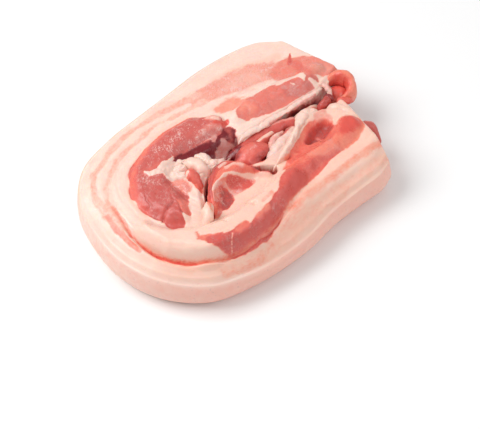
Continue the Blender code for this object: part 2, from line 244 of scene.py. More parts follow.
# Marks: what shows on the cut side, in plan millimetres. Each has a chain of discs, how ragged its edge
# is, how softly it fades, and the values that it sets.
#   lean: 0 fat, 1 lean. blood: 0 pale salmon, 1 maroon, the lean's own depth of colour, and painted shade where it is
#       set high in the crevice and the hollows. frost: pale grain on the lean, partly a painted highlight on its wet
#       top. film: grey-white membrane.
#   peach: warm tint, partly the meat's own colour and partly painted warm shade on the shaded near side. bundle:
#       bundles of fibre with seams between them. crumple: torn, folded relief.
MARKS = (
    # Far arm, from the rind inwards.
    (((18, 59, 1.5), (36, 59.5, 2), (50, 56.5, 2.5), (60, 51.5, 3), (70, 50, 4)), 1.5, 4.0, dict(lean=0.2, peach=0.7)),
    (((4, 52, 7), (20, 51, 8), (35, 48.5, 10), (48, 46, 10.5), (60, 42, 9)), 2.8, 5.0,
     dict(lean=0.75, blood_and_shade=0.13, frost_and_highlight=0.9, peach=0.1)),
    (((22, 48, 2), (36, 48, 7), (47, 45, 6)), 3.0, 8.0, dict(lean=0.65, blood_and_shade=0.08, frost_and_highlight=1.0, film=0.35)),
    (((20, 40, 2), (34, 37, 2.4), (48, 35, 3), (58, 32, 3)), 2.5, 4.0, dict(lean=0.35, film=0.3, blood_and_shade=0.1)),
    (((6, 55, 3.4), (-20, 56.5, 3.2), (-46, 54.8, 2.4), (-61, 51.3, 2.6), (-69, 48.5, 2.6), (-77, 43, 3),
      (-86, 39, 3), (-92, 31, 2.8), (-95, 22, 3), (-97, 5, 3), (-96.5, -12, 2.6)), 2.2, 3.5,
     dict(lean=0.5, blood_and_shade=0.05, peach=0.35)),
    (((6, 47, 2.6), (-20, 47.8, 2.4), (-30, 49.3, 1.6), (-42, 46.4, 2), (-58, 42.7, 2.2), (-68, 38.8, 2.6),
      (-79, 30, 2.6), (-85, 25, 2.4), (-91, 14, 2.6), (-92, 0, 2), (-92, -14, 1.4)), 2.4, 3.0,
     dict(lean=0.48, blood_and_shade=0.06, peach=0.3)),
    (((-97, 4, 1), (-98, -8, 1.6), (-96, -22, 1.8), (-94, -30, 1.6)), 1.0, 2.0, dict(lean=0.85, blood_and_shade=0.2, peach=0.4)),
    (((-91, 8, 0.8), (-91, -6, 1.2), (-93, -18, 1.2)), 1.0, 2.0, dict(lean=0.75, blood_and_shade=0.16, peach=0.3)),
    (((11, 35, 4), (20, 33, 6), (27, 30, 6), (30, 25, 6)), 2.6, 4.0, dict(lean=0.75, blood_and_shade=0.12, peach=0.5)),
    (((22, 20, 6.5), (32, 20, 9.5), (44, 19.5, 10), (55, 17, 8.5), (66, 16, 9)), 2.0, 2.0,
     dict(lean=1.0, blood_and_shade=0.31, frost_and_highlight=0.2, peach=0.25, bundle=0.35)),
    (((58, 17, 6), (66, 14, 7.5), (74, 14, 7)), 2.5, 3.0, dict(lean=1.0, blood_and_shade=0.42, film=0.3, peach=0.0)),
    (((20, 22, 2), (27, 26, 3), (27, 18, 3)), 2.0, 4.0, dict(blood_and_shade=0.24, peach=0.6, frost_and_highlight=0.4)),
    (((50, 32, 2), (55, 28, 3.5), (57, 26, 2)), 2.5, 2.5, dict(lean=0.1, film=0.2)),
    (((28, 33, 1.2), (33, 30, 1.6), (35, 27, 0.6)), 1.5, 1.5, dict(lean=0.0)),
    (((63, 37, 7), (72, 36, 10), (80, 31, 11), (88, 24, 10), (92, 18, 7)), 2.4, 3.5,
     dict(lean=1.0, blood_and_shade=0.22, peach=0.35, frost_and_highlight=0.3, bundle=0.3)),
    (((76, 38, 3), (77, 30, 3.5), (75, 22, 3)), 2.5, 4.0, dict(blood_and_shade=0.36, peach=0.45)),
    (((84, 28, 3.5), (90, 20, 4)), 2.0, 5.0, dict(blood_and_shade=0.17, peach=0.1)),
    (((60, 25, 1.4), (65.5, 26.3, 2), (70, 24.5, 2.4), (71, 20.5, 2), (69.5, 17, 0.8)), 0.9, 1.2,
     dict(lean=0.0, film=0.35, bundle=0.0)),
    (((61, 21, 0.5), (62, 18.5, 1.2)), 0.5, 1.2, dict(lean=0.3, film=0.3)),
    (((74, 40, 1.6), (77, 44, 1.1), (79.8, 47.5, 0.3)), 0.4, 1.0, dict(lean=1.0, blood_and_shade=0.52, peach=0.6)),
    (((2, 5, 2.4), (14, 8, 3), (30, 6.5, 3), (45, 5.5, 3), (62, 7, 3.2), (74, 7, 3)), 1.6, 1.6,
     dict(lean=0.0, film=0.35, blood_and_shade=0.3, bundle=0.0)),
    (((74, 16, 1.6), (76, 13, 2.6), (77, 9, 2.4)), 1.2, 1.4, dict(lean=0.1, film=0.5)),
    (((79, 11, 2), (90, 12.5, 2.2), (99, 12.5, 2.2)), 0.8, 1.4, dict(lean=0.05, film=0.25, blood_and_shade=0.1)),
    # Bend muscle: its body, its orange outer rim, its dark inner end, partly painted shade, and its frosty top, partly
    # a painted highlight.
    (((-2, 24.5, 8.5), (-14, 28.5, 12), (-30, 28.5, 11.5), (-45, 23.5, 12.5), (-58, 16, 13.5), (-66, 6, 11)), 1.2, 1.6,
     dict(lean=1.0, blood_and_shade=0.57, frost_and_highlight=0.45, film=0.0, bundle=0.1, peach=0.2)),
    (((-67, 6, 10.5), (-63, -5, 15), (-61, -12, 14.5)), 1.2, 1.6,
     dict(lean=1.0, blood_and_shade=0.58, frost_and_highlight=0.28, bundle=0.15, peach=0.15)),
    (((-65, -22, 6.5), (-65.5, -28.5, 6)), 0.8, 1.2, dict(lean=1.0, blood_and_shade=0.58, frost_and_highlight=0.1, peach=0.2)),
    (((-54, -19, 3.5), (-55.5, -26, 2.6)), 1.0, 2.0, dict(lean=1.0, blood_and_shade=0.34, peach=0.45)),
    (((-74, -23, 1.0), (-73, -29, 0.8)), 0.6, 1.2, dict(lean=0.0)),
    (((-12, 40, 2), (-20, 40, 2.4), (-34, 38.5, 2.6), (-48, 34, 2.8), (-62, 26, 3), (-72, 14, 3), (-77.5, 0, 2.8),
      (-77.5, -11, 2)), 1.2, 6.0, dict(peach=0.9, blood_and_shade=0.34, frost_and_highlight=0.1)),
    # Frost on the muscle's top: pale grain, partly a painted highlight where the wet top catches the light.
    (((-38, 23, 5), (-28, 26, 7), (-14, 25, 9), (-4, 26, 6)), 2.5, 5.0, dict(frost_and_highlight=0.75)),
    (((-16, 20, 3), (-6, 20, 4.5), (0, 20, 2)), 2.5, 4.0, dict(frost_and_highlight=1.0, film=0.4, blood_and_shade=0.36)),
    (((-47, 26, 2), (-40, 26, 3)), 2.5, 4.0, dict(frost_and_highlight=1.0)),
    (((-58, 6, 4), (-62, 12, 4)), 2.5, 5.0, dict(frost_and_highlight=0.9)),
    (((-46, -2, 4), (-45, -9, 4.5)), 2.0, 4.0, dict(lean=0.8, frost_and_highlight=1.0, blood_and_shade=0.26, film=0.3)),
    (((-60, 16, 3), (-50, 15, 3)), 2.0, 5.0, dict(blood_and_shade=0.44, frost_and_highlight=0.1)),
    # The inner end, painted maroon: partly the lean's own dark red and partly painted shade where it drops into the
    # hollow.
    (((-39, 14.5, 1.4), (-34, 14, 3.2), (-26, 14, 4), (-18, 11, 6.5), (-9, 8, 8), (0, 9, 7), (4, 13, 5)), 1.6, 2.2,
     dict(lean=1.0, blood_and_shade=1.0, frost_and_highlight=0.0, peach=0.0)),
    (((-30, 18, 1.2), (-22, 18, 1.6), (-11, 17.5, 2.4), (-4, 18, 2)), 1.6, 3.0, dict(blood_and_shade=0.62, frost_and_highlight=0.4)),
    (((3, 9, 2), (5, 16, 2.5)), 1.6, 4.0, dict(blood_and_shade=0.72)),
    (((-8, 13.5, 1.6), (-6, 16.5, 1.8)), 2.0, 1.6, dict(film=0.6, blood_and_shade=0.6)),
    (((-15, 2, 1), (-8, 6, 3.4), (-3, 8.5, 3.6), (2, 6, 1.5)), 2.6, 1.6, dict(film=0.66, blood_and_shade=0.66, frost_and_highlight=0.4)),
    # Painted shade: maroon where the bend drops into the crevice.
    (((-14, -1, 2), (-6, -2, 3), (3, -1, 3)), 1.5, 3.0, dict(blood_and_shade=1.0, film=0.0)),
    (((-1, 30, 2.5), (3, 27, 2.5), (4, 24, 1.2)), 1.5, 2.0, dict(lean=0.55, frost_and_highlight=1.0, film=0.45, blood_and_shade=0.15)),
    (((0, 23, 1.2), (4, 21.5, 2.8), (7.5, 21.5, 2.2)), 0.8, 1.5, dict(lean=1.0, blood_and_shade=0.5, peach=1.0, frost_and_highlight=0.0)),
    (((-60.5, 16, 0.6), (-58, 12, 1.8), (-52, 10.5, 2.6), (-46, 11.5, 4), (-41, 9, 5)), 1.8, 1.0,
     dict(lean=0.0, film=0.5, blood_and_shade=0.2, frost_and_highlight=0.0, bundle=0.0, crumple=0.5)),
    (((-46, 13, 1), (-41, 15, 1.4), (-38, 17, 0.6)), 2.2, 1.0, dict(lean=0.1, film=0.6)),
    (((-47, 6, 4.5), (-38, 5, 7), (-28, 3, 7.5), (-20, -1, 5)), 1.4, 1.2,
     dict(lean=0.0, film=0.5, blood_and_shade=0.3, bundle=0.0, crumple=1.0)),
    (((-41, -16, 2.5), (-46, -20, 3.2), (-49, -25, 3.6), (-47, -30, 4)), 1.4, 2.0,
     dict(lean=0.08, blood_and_shade=0.12, film=0.45, frost_and_highlight=0.0)),
    (((-37, -7, 2.4), (-37.6, -13, 2.2), (-38.5, -17, 0.8)), 1.0, 1.6, dict(lean=1.0, blood_and_shade=0.34, peach=0.7)),
    (((-42.5, -26, 0.8), (-43.5, -31, 1.6), (-45, -37, 3)), 1.2, 3.0, dict(lean=0.6, blood_and_shade=0.16, peach=1.0)),
    # Near lobe: red where it meets the crevice, an orange rim, a white film over its top, maroon patches.
    (((-41, -37, 3), (-37, -28, 5), (-29, -20, 7), (-20, -15, 7), (-10, -16, 7.5), (-4, -20, 5), (0, -25, 3)), 1.2, 1.6,
     dict(lean=1.0, blood_and_shade=0.3, peach=0.85)),
    (((-36, -22, 1), (-28, -14, 1.6), (-20, -10, 2)), 1.2, 2.0, dict(blood_and_shade=0.52, peach=0.6)),
    (((-40, -35, 3), (-34, -30, 5), (-25, -25.5, 5.5), (-15, -26, 5.5), (-8, -28, 3.5)), 1.8, 2.0,
     dict(lean=0.8, blood_and_shade=0.34, film=0.45, peach=0.1, frost_and_highlight=0.6)),
    (((-34, -24, 0.5), (-28, -20.5, 0.9), (-21, -19, 1.1), (-14, -21.5, 0.8), (-7, -25.5, 0.7),
      (0, -30, 0.8)), 1.0, 1.0,
     dict(lean=0.0, film=0.6)),
    (((-17, -15, 1.4), (-12, -15, 2.2), (-8, -19, 1.6)), 2.4, 2.0, dict(lean=0.5, film=0.6, blood_and_shade=0.3, peach=0.2)),
    (((-37, -33, 1.4), (-33, -31, 2.4)), 2.6, 2.0, dict(lean=1.0, blood_and_shade=0.52, film=0.2, peach=0.2, frost_and_highlight=0.5)),
    (((-32, -35, 3), (-28.5, -32, 4.6), (-26.5, -28, 4)), 2.4, 2.0, dict(lean=1.0, blood_and_shade=0.74, film=0.0, frost_and_highlight=0.3)),
    (((-33, -27, 0.5), (-31.5, -33, 0.5)), 1.4, 1.2, dict(film=0.7, lean=0.6)),
    (((-28, -25, 0.5), (-27, -29, 0.3)), 1.4, 1.2, dict(film=0.7, lean=0.6)),
    (((-23.4, -23, 0.8), (-22.5, -31, 1.0)), 1.4, 1.2, dict(film=0.7, lean=0.5)),
    (((-19.5, -23.5, 3.4), (-15, -26, 4), (-10, -28.5, 2.6)), 1.8, 2.0,
     dict(lean=1.0, blood_and_shade=0.58, film=0.0, peach=0.4, frost_and_highlight=0.35)),
    (((-44, -36, 1.4), (-38, -37, 1.2)), 1.2, 2.0, dict(lean=0.9, blood_and_shade=0.45, peach=0.4)),
    # Cushion: a warm tint on its near slope and over its body, which is painted warm shade where it lies away from the
    # key lamp, then its lean.
    (((-90, -28, 3), (-86, -42, 5), (-74, -56, 6), (-58, -66, 6), (-40, -70, 5), (-20, -68, 5), (0, -60, 5),
      (24, -54, 4)),
     2.0, 6.0, dict(peach=0.95, lean=0.16)),
    (((-84, -22, 7), (-76, -40, 9), (-58, -52, 11), (-32, -50, 9), (-8, -45, 7)), 3.0, 8.0, dict(peach=0.45, lean=0.1)),
    (((-61, -47, 1), (-62, -51, 2), (-57, -55, 3.4), (-52, -60, 4)), 1.8, 2.4, dict(lean=0.8, blood_and_shade=0.36, peach=0.5)),
    (((-57, -57, 3), (-47, -63, 5), (-37, -65.5, 5), (-26, -65.5, 5), (-16, -62, 4.6), (-8, -58, 4),
      (-2, -55, 4)), 2.2, 2.2,
     dict(lean=1.0, blood_and_shade=0.62, peach=0.25, frost_and_highlight=0.2, bundle=0.1)),
    (((-39, -60.5, 2.4), (-33, -60, 2.4)), 1.2, 2.4, dict(lean=0.9, blood_and_shade=0.32, peach=0.7)),
    (((-24, -60, 1.4), (-14, -57, 1.6)), 1.6, 3.0, dict(lean=0.8, blood_and_shade=0.3, peach=0.7)),
    (((-49, -66, 0.3), (-44, -61, 0.6)), 0.8, 1.2, dict(lean=0.3, film=0.2)),
    (((-14, -52, 1.2), (-6, -50, 1.6)), 1.2, 2.0, dict(lean=0.5, blood_and_shade=0.2)),
    (((-62, -42, 1.4), (-56, -43, 1.2)), 1.8, 2.0, dict(lean=0.3, blood_and_shade=0.2)),
    (((-38, -42, 4), (-26, -44, 6), (-12, -42, 5), (-2, -39, 3)), 2.5, 6.0, dict(film=0.25)),
    # Near arm.
    (((-4, -56.5, 3), (2, -53, 4.8), (10, -48.5, 7), (20, -44, 8.8), (30, -42.5, 8.5), (40, -41, 6.5),
      (50, -40.5, 5.5)),
     1.4, 2.0, dict(lean=1.0, blood_and_shade=0.42, peach=0.5)),
    (((-3, -56, 2), (8, -51, 3), (18, -47.5, 3)), 1.6, 4.0, dict(blood_and_shade=0.56)),
    (((17, -36, 3.5), (23, -34, 5), (28, -36, 4)), 1.4, 3.5, dict(lean=1.0, blood_and_shade=0.28, peach=1.0)),
    (((36, -35, 5), (44, -36.5, 7), (54, -37, 8)), 2.4, 3.5, dict(lean=0.9, blood_and_shade=0.24, film=0.3, peach=0.8)),
    (((58, -40, 5.5), (65, -36, 9), (71, -33, 9.5)), 1.8, 3.0, dict(lean=1.0, blood_and_shade=0.24, peach=1.0, film=0.0)),
    (((64, -34, 4), (72, -31, 6.5)), 1.5, 7.0, dict(blood_and_shade=0.5, peach=1.0)),
    (((23, -28, 3), (32, -25, 5), (42, -21, 5.5), (52, -20, 8), (60, -18, 6)), 1.8, 2.5,
     dict(lean=1.0, blood_and_shade=0.32, peach=0.95)),
    (((22, -32, 3), (34, -31, 4), (46, -31, 4.5), (60, -29, 4)), 1.5, 2.5,
     dict(lean=0.95, blood_and_shade=0.34, peach=0.9, film=0.15, crumple=0.8)),
    (((41, -24.5, 3), (48, -24, 6),
      (57, -22, 6)), 2.4, 2.6, dict(lean=1.0, blood_and_shade=0.68, peach=0.3, frost_and_highlight=0.15, crumple=0.0)),
    (((50, -22, 0.7), (52, -27, 0.4)), 1.4, 1.2, dict(blood_and_shade=0.25, film=0.3)),
    (((10, -29, 1.6), (18, -26.5, 2), (28, -22.5, 2.2), (37, -17, 2.6), (45, -11, 3.2), (54, -7, 5),
      (61, -6, 4.5)), 1.2, 1.4,
     dict(lean=0.0, film=0.1, peach=0.3)),
    (((-8, -11, 4), (8, -13, 7), (20, -10, 6), (34, -6, 4), (46, -4, 3)), 1.5, 2.0, dict(lean=1.0, blood_and_shade=0.5)),
    (((14, -23, 2), (22, -20, 3.6), (32, -16, 3.6), (42, -10, 2.6)), 1.5, 2.0, dict(lean=0.15, film=0.8)),
    (((64, -3, 3), (70, -7, 4.5), (77, -3, 4)), 1.5, 2.5, dict(lean=1.0, blood_and_shade=0.58, peach=0.3)),
    (((58, -12, 3), (64, -12, 3.6), (65, -18, 2.4)), 1.5, 3.0, dict(lean=0.6, film=0.5, blood_and_shade=0.25, peach=0.1)),
    (((70, -13, 3.5), (76, -17, 5), (79, -25, 4)), 1.2, 2.5, dict(lean=0.05, blood_and_shade=0.2, peach=0.35)),
    # Painted shade: dark red with some film in the hollow beside the lobe.
    (((-2, -20, 2.4), (3, -26, 4), (8, -30, 3.6)), 1.2, 2.0, dict(lean=1.0, blood_and_shade=0.8, film=0.4, peach=0.0)),
    # Outer belt: soft warm stripes.
    (((-60, -72, 2), (-45, -75.5, 2.4), (-28, -75, 3), (-12, -71, 3), (6, -64, 3.4)), 1.4, 4.0,
     dict(lean=0.45, blood_and_shade=0.12, peach=0.9)),
    (((0, -62, 2.6), (16, -60, 3), (34, -58, 3), (52, -56, 3), (70, -55, 3), (84, -54, 3)), 1.6, 4.0,
     dict(lean=0.5, blood_and_shade=0.03, peach=1.0)),
    (((-30, -77, 2), (-10, -73.5, 4), (10, -69, 5), (30, -66.5, 5), (55, -64.5, 4), (82, -62, 4)), 2.0, 6.0,
     dict(lean=0.32, blood_and_shade=0.0, peach=1.0)),
    # Layers on the near end's cut face.
    (((86, -44, 3), (87, -33, 6), (88, -27, 4)), 1.6, 2.5, dict(lean=1.0, blood_and_shade=0.4, peach=0.5, frost_and_highlight=0.2)),
    (((86, -15, 2), (87, -10, 2.5)), 1.2, 2.5, dict(lean=0.9, blood_and_shade=0.5)),
    # Both walls of the crevice: lean painted dark maroon, which is painted shade down in the crevice.
    (((-43, -36, 1.2), (-40, -28, 1.6), (-33, -16, 1.8), (-14, -6, 2.4), (2, -1, 2.6), (20, 2, 2.4), (46, 3.5, 2.2),
      (76, 5, 2.4)), 0.8, 1.5, dict(lean=1.0, blood_and_shade=0.85, film=0.0, peach=0.0)),
)

MARK_VALUES = ("lean", "blood_and_shade", "frost_and_highlight", "film", "peach", "bundle", "crumple")

# Pieces that stand free of the strip. Each has a path of x, y, z, half width and half height, the
# height and the seed of its lumps, its ground values and its marks.
LOBE = dict(
    path=((-42, -38, 33, 2, 5), (-38.5, -31, 35, 3, 7), (-32.5, -20.5, 36.5, 4, 8), (-24.5, -13.5, 37, 4.5, 8),
          (-14.5, -10.5, 36.5, 4.5, 7), (-7, -13, 34, 4, 6), (-2, -19, 32, 3, 5)),
    lumps=0.9, seed=101, ground=dict(lean=1.0, blood_and_shade=0.34, peach=0.8),
    marks=(
        (((-38, -27, 1), (-29, -15, 1.8), (-19, -8, 2.2), (-12, -6, 1.6)), 1.0, 2.4, dict(blood_and_shade=0.66, peach=0.4)),
        (((-20, -11, 1.4), (-15, -10, 1.6)), 1.2, 1.6, dict(film=0.7, lean=0.5)),
    ),
)
STRANDS = (
    # The first strand fills the slit under the lobe; its near-maroon colour is painted shade in the slit.
    dict(path=((-44, -38, 26, 2, 5), (-39, -27, 25, 3, 6), (-32, -15, 25, 4, 7), (-20, -6, 26, 4, 7),
               (-6, -4, 28, 3, 5)),
         lumps=1.0, seed=131, ground=dict(lean=1.0, blood_and_shade=0.95), marks=()),
    dict(path=((-8, 2, 29, 3, 3), (4, 1, 31, 5, 4), (14, 3, 32, 5, 4), (26, 3, 32.5, 5, 4), (38, 0, 33, 4.5, 4),
               (47, -3, 33, 4, 4), (53, -4, 32, 2, 2)),
         lumps=1.4, seed=141, ground=dict(lean=1.0, blood_and_shade=0.5, peach=0.3),
         marks=(
             (((-10, 2, 7), (0, 1, 6)), 1.5, 6.0, dict(blood_and_shade=0.9)),
             (((30, 3, 1.5), (38, 2, 2), (46, -2, 1.5)), 2.5, 2.0, dict(film=0.6, blood_and_shade=0.4)),
             (((10, 6, 2), (30, 6.5, 2), (50, 2, 2)), 1.5, 2.5, dict(blood_and_shade=0.8)),
         )),
    dict(path=((-8, -9, 29, 3, 4), (0, -9, 32.5, 7, 5), (7, -9.5, 33.5, 8.6, 5.4), (14, -8.5, 33.5, 7.4, 5),
               (21, -7, 32, 4, 3)),
         lumps=1.8, seed=145, ground=dict(lean=1.0, blood_and_shade=0.38, peach=0.6),
         marks=(
             (((-8, -14, 4), (2, -17, 2.6), (12, -16, 2.6), (20, -12, 1.6)), 1.5, 3.0, dict(blood_and_shade=0.7, peach=0.3)),
             (((4, -8, 2), (10, -7, 2)), 2.5, 3.0, dict(film=0.35, frost_and_highlight=0.8)),
             (((-10, -4, 4), (-2, -4, 3)), 1.5, 4.0, dict(blood_and_shade=0.75, peach=0.1)),
         )),
    dict(path=((12, -22, 31, 3, 3), (19, -18, 33.5, 4.5, 4), (28, -14, 34.5, 4.5, 4), (36, -11, 34.5, 4, 3.5),
               (43, -7, 34, 2.5, 3)),
         lumps=2.0, seed=151, ground=dict(lean=0.3, blood_and_shade=0.4, film=0.75),
         marks=((((31, -9, 2), (38, -7, 2.4)), 1.6, 2.0, dict(lean=1.0, blood_and_shade=0.6, film=0.3)),)),
    dict(path=((19, -13, 33, 2, 2), (24, -9, 35, 2.6, 2.5), (30, -7, 35.5, 2.4, 2.5), (35, -6, 35, 1.2, 1.5)),
         lumps=1.4, seed=157, ground=dict(lean=0.5, blood_and_shade=0.4, film=0.55), marks=()),
)
FLAP = dict(
    path=((9, -29, 34, 1.5, 3), (18, -26.5, 36.5, 2.4, 5), (28, -22.5, 37.5, 2.6, 5), (37, -16.5, 38, 2.8, 5),
          (45, -10.5, 38, 3.2, 4), (52, -6.5, 37.5, 4.2, 3.2), (58, -5.5, 37, 4.4, 3), (63, -8, 35.5, 2.6, 2.6)),
    lumps=2.2, seed=161, ground=dict(lean=0.0, blood_and_shade=0.2, peach=0.25),
    marks=(
        (((12, -31, 1.5), (20, -29.5, 1.5), (30, -26, 1.4), (40, -19.5, 1.2), (48, -13.5, 1)), 1.4, 2.0,
         dict(lean=0.8, blood_and_shade=0.2, peach=0.9)),
        (((58, -11, 2.4), (65, -10, 3)), 1.5, 2.0, dict(film=0.5, lean=0.5)),
    ),
)
KNOB = dict(
    path=((82, 10, 31, 2, 3), (87, 12, 33, 2.6, 5), (93, 11, 33.5, 4, 7), (97.5, 6, 33, 5, 8), (97.6, 1, 31.5, 4.6, 8),
          (95, -2.6, 29.8, 4, 7), (90, -4.6, 29, 3.6, 6), (85, -4.5, 29, 3, 4), (81, -3.5, 29, 2, 3)),
    lumps=1.1, seed=171, ground=dict(lean=1.0, blood_and_shade=0.18, peach=1.0),
    marks=(
        (((85, 8, 3), (91, 7, 4), (93, 1, 4), (90, -3, 2)), 1.2, 4.0, dict(blood_and_shade=0.38, peach=1.0)),
    ),
)
KNOB_FLOOR = dict(
    path=((80, 7, 25, 3, 4), (85, 5, 26.5, 6, 6), (90, 2, 26.5, 6, 6), (94, -1, 25, 4, 4)),
    lumps=1.2, seed=175, ground=dict(lean=1.0, blood_and_shade=0.42, peach=1.0),
    marks=((((80, -2, 3), (86, -4, 3), (90, -5, 2)), 2.0, 3.0, dict(blood_and_shade=0.3, film=0.4, peach=0.4)),),
)
END_STRIPS = (
    dict(path=((68, -10, 33, 3, 3), (73, -11.5, 35, 4.5, 4), (77, -16, 34.5, 4.5, 4.5), (79, -22, 33, 4, 5),
               (80, -28, 30, 3, 4)),
         lumps=0.9, seed=181, ground=dict(lean=0.1, blood_and_shade=0.2, peach=0.3), marks=()),
    dict(path=((77, 14, 35, 1.2, 1.6), (79.5, 10, 36.5, 1.9, 2), (80.5, 5, 36, 1.8, 2), (79.5, 0, 33.5, 1, 1.4)),
         lumps=1.4, seed=191, ground=dict(lean=0.4, blood_and_shade=0.3, film=0.6), marks=()),
    dict(path=((66, -3, 32, 2, 3), (70, -3, 34, 3, 3.5), (74, -2, 34.5, 3, 3.5), (78, 0, 33, 2, 3)),
         lumps=1.4, seed=201, ground=dict(lean=1.0, blood_and_shade=0.66, peach=0.3), marks=()),
    dict(path=((73, 1, 34, 1.5, 2), (76, -1, 35.5, 2.4, 2.6), (79, -4, 34.5, 2, 2.2)),
         lumps=0.8, seed=205, ground=dict(lean=1.0, blood_and_shade=0.8), marks=()),
    dict(path=((79, -5, 31, 1.5, 2), (83, -7, 32.5, 2.4, 2.4), (88, -9, 31, 2.4, 2.4), (92, -9, 29, 1.2, 1.5)),
         lumps=0.8, seed=207, ground=dict(lean=1.0, blood_and_shade=0.4, peach=0.8), marks=()),
)
TONGUE = dict(
    path=((77, -27, 27, 3, 3), (83.5, -31, 26, 4.5, 5), (87.5, -36, 24, 3.2, 4.4), (87.5, -44, 19, 1.2, 2)),
    lumps=0.8, seed=211, ground=dict(lean=1.0, blood_and_shade=0.52), marks=(),
)
FAT_LUMPS = (
    dict(path=((-34, 12, 36, 2, 3), (-32, 8, 38.5, 4, 4.5), (-29, 2, 39, 4.8, 5), (-27, -4, 37.5, 4.4, 5),
               (-27, -9, 34, 2, 3)),
         lumps=0.5, seed=221, ground=dict(lean=0.0, blood_and_shade=0.2, film=0.1, peach=0.25)),
    dict(path=((-27, 14, 36, 1.5, 1.5), (-23.5, 9, 37.5, 2.8, 2.6), (-21, 4, 37, 3, 3), (-20, -2, 35.5, 2.6, 3),
               (-22, -7, 33, 1.5, 2)),
         lumps=2.0, seed=223, ground=dict(lean=0.05, blood_and_shade=0.3, film=0.55)),
    dict(path=((-24, 1, 34, 1.5, 2), (-19, -1, 36.5, 3, 2.5), (-14, -1.5, 36, 2.6, 2), (-9, 0.5, 34, 0.8, 1)),
         lumps=1.8, seed=225, ground=dict(lean=0.0, blood_and_shade=0.2, film=0.35)),
    dict(path=((-47, 8, 38, 1, 1.5), (-42, 8, 39.5, 2.4, 2.4), (-38, 6, 39.5, 2.6, 2.6), (-36, 2, 38, 1.2, 1.5)),
         lumps=2.0, seed=227, ground=dict(lean=0.0, blood_and_shade=0.2, film=0.4)),
    dict(path=((-41, 14, 37, 1, 1.5), (-37, 12.5, 39, 1.8, 2), (-34, 9, 39, 1.8, 2), (-33, 6, 38, 1, 1)),
         lumps=1.8, seed=229, ground=dict(lean=0.0, blood_and_shade=0.2, film=0.5)),
    dict(path=((-53, -43, 39, 3, 4), (-47, -38, 41.5, 4.2, 5), (-43.5, -33, 41.6, 3.6, 5), (-41.5, -28, 40.5, 2, 3.6)),
         lumps=0.9, seed=231, ground=dict(lean=0.1, blood_and_shade=0.14, peach=0.5),
         marks=((((-44, -38, 1), (-41.5, -31, 1.2)), 1.2, 2.0, dict(lean=0.7, blood_and_shade=0.2, peach=1.0)),)),
)
RED_NUB = dict(
    path=((-40, 3, 36.5, 1.5, 2), (-37.5, 0, 39.5, 3.8, 4), (-36, -4, 39.8, 4.2, 4.2), (-35.6, -9, 37.5, 3.6, 4),
          (-36.5, -15, 34, 2.4, 3)),
    lumps=1.0, seed=241, ground=dict(lean=1.0, blood_and_shade=0.36, peach=0.6),
    # Painted highlight: a pale fleck with a little film on the nub's top.
    marks=((((-39.8, -2, 1.2), (-38.4, -1.2, 1.3)), 0.4, 0.6, dict(lean=0.0, film=0.3)),),
)
TORN_EDGE = dict(
    path=((4, 3, 36, 1, 2), (12, 5.4, 37.6, 2.2, 1.8), (24, 5, 38, 2.2, 1.7), (38, 4.8, 38, 2.4, 1.8),
          (50, 5.4, 38, 2.2, 1.7),
          (62, 6, 37.6, 2.4, 1.7), (72, 7, 36.6, 2, 1.6), (79, 9, 35, 1, 1.2)),
    lumps=1.3, seed=251, ground=dict(lean=0.0, blood_and_shade=0.3, film=0.6),
    marks=((((30, 2.5, 1), (50, 3, 1), (70, 5, 1)), 1.5, 2.0, dict(lean=0.7, blood_and_shade=0.5)),),
)


def paint(points, uv, marks, ground):
    """Values of the marks at each point, laid over the ground values one after another. A mark's weight
    rises from 0 to 1 across its edge, over its softness. The edge is shifted by ragged noise, part of
    which is drawn out along the run of the meat."""
    x, y = points[..., 0], points[..., 1]
    flat = points * np.array([1.0, 1.0, 0.4])
    run = np.stack([uv[..., 0], uv[..., 1], points[..., 2]], axis=-1)
    wander = 0.7 * layered_noise(flat, 6.0, 11, 4) + 0.5 * layered_noise(run, (14.0, 1.8, 8.0), 17, 3)
    values = {name: np.full(x.shape, float(ground.get(name, 0.0))) for name in MARK_VALUES}
    for chain, ragged, softness, sets in marks:
        weight = smooth_step(0.5 + (reach_into(x, y, chain) + ragged * wander) / softness)
        for name, value in sets.items():
            values[name] = values[name] + (value - values[name]) * weight
    return values


def inside_bundle(x, y, size, seed):
    """How far each place lies inside its bundle of fibres, in the units of size. The bundles are the
    cells nearest to seeded random points, one in each square of a lattice."""
    table = np.random.default_rng(seed).uniform(0.1, 0.9, (4096, 2))
    column, row = np.floor(x / size).astype(np.int64), np.floor(y / size).astype(np.int64)
    nearest, second = np.full(x.shape, np.inf), np.full(x.shape, np.inf)
    for across, up in np.ndindex(3, 3):
        i, j = column + across - 1, row + up - 1
        place = table[((i * 73856093) ^ (j * 19349663)) % 4096]
        distance = np.hypot((i + place[..., 0]) * size - x, (j + place[..., 1]) * size - y)
        second = np.minimum(second, np.maximum(nearest, distance))
        nearest = np.minimum(nearest, distance)
    return (second - nearest) / 2.0


def bundle_depth(points):
    """Depth inside the bundles of fibre, with crooked seams."""
    flat = points * np.array([1.0, 1.0, 0.3])
    x = points[..., 0] + 2.0 * layered_noise(flat, 5.0, 61, 3)
    y = points[..., 1] + 2.0 * layered_noise(flat, 5.0, 67, 3)
    return inside_bundle(x, y, 8.0, 71)


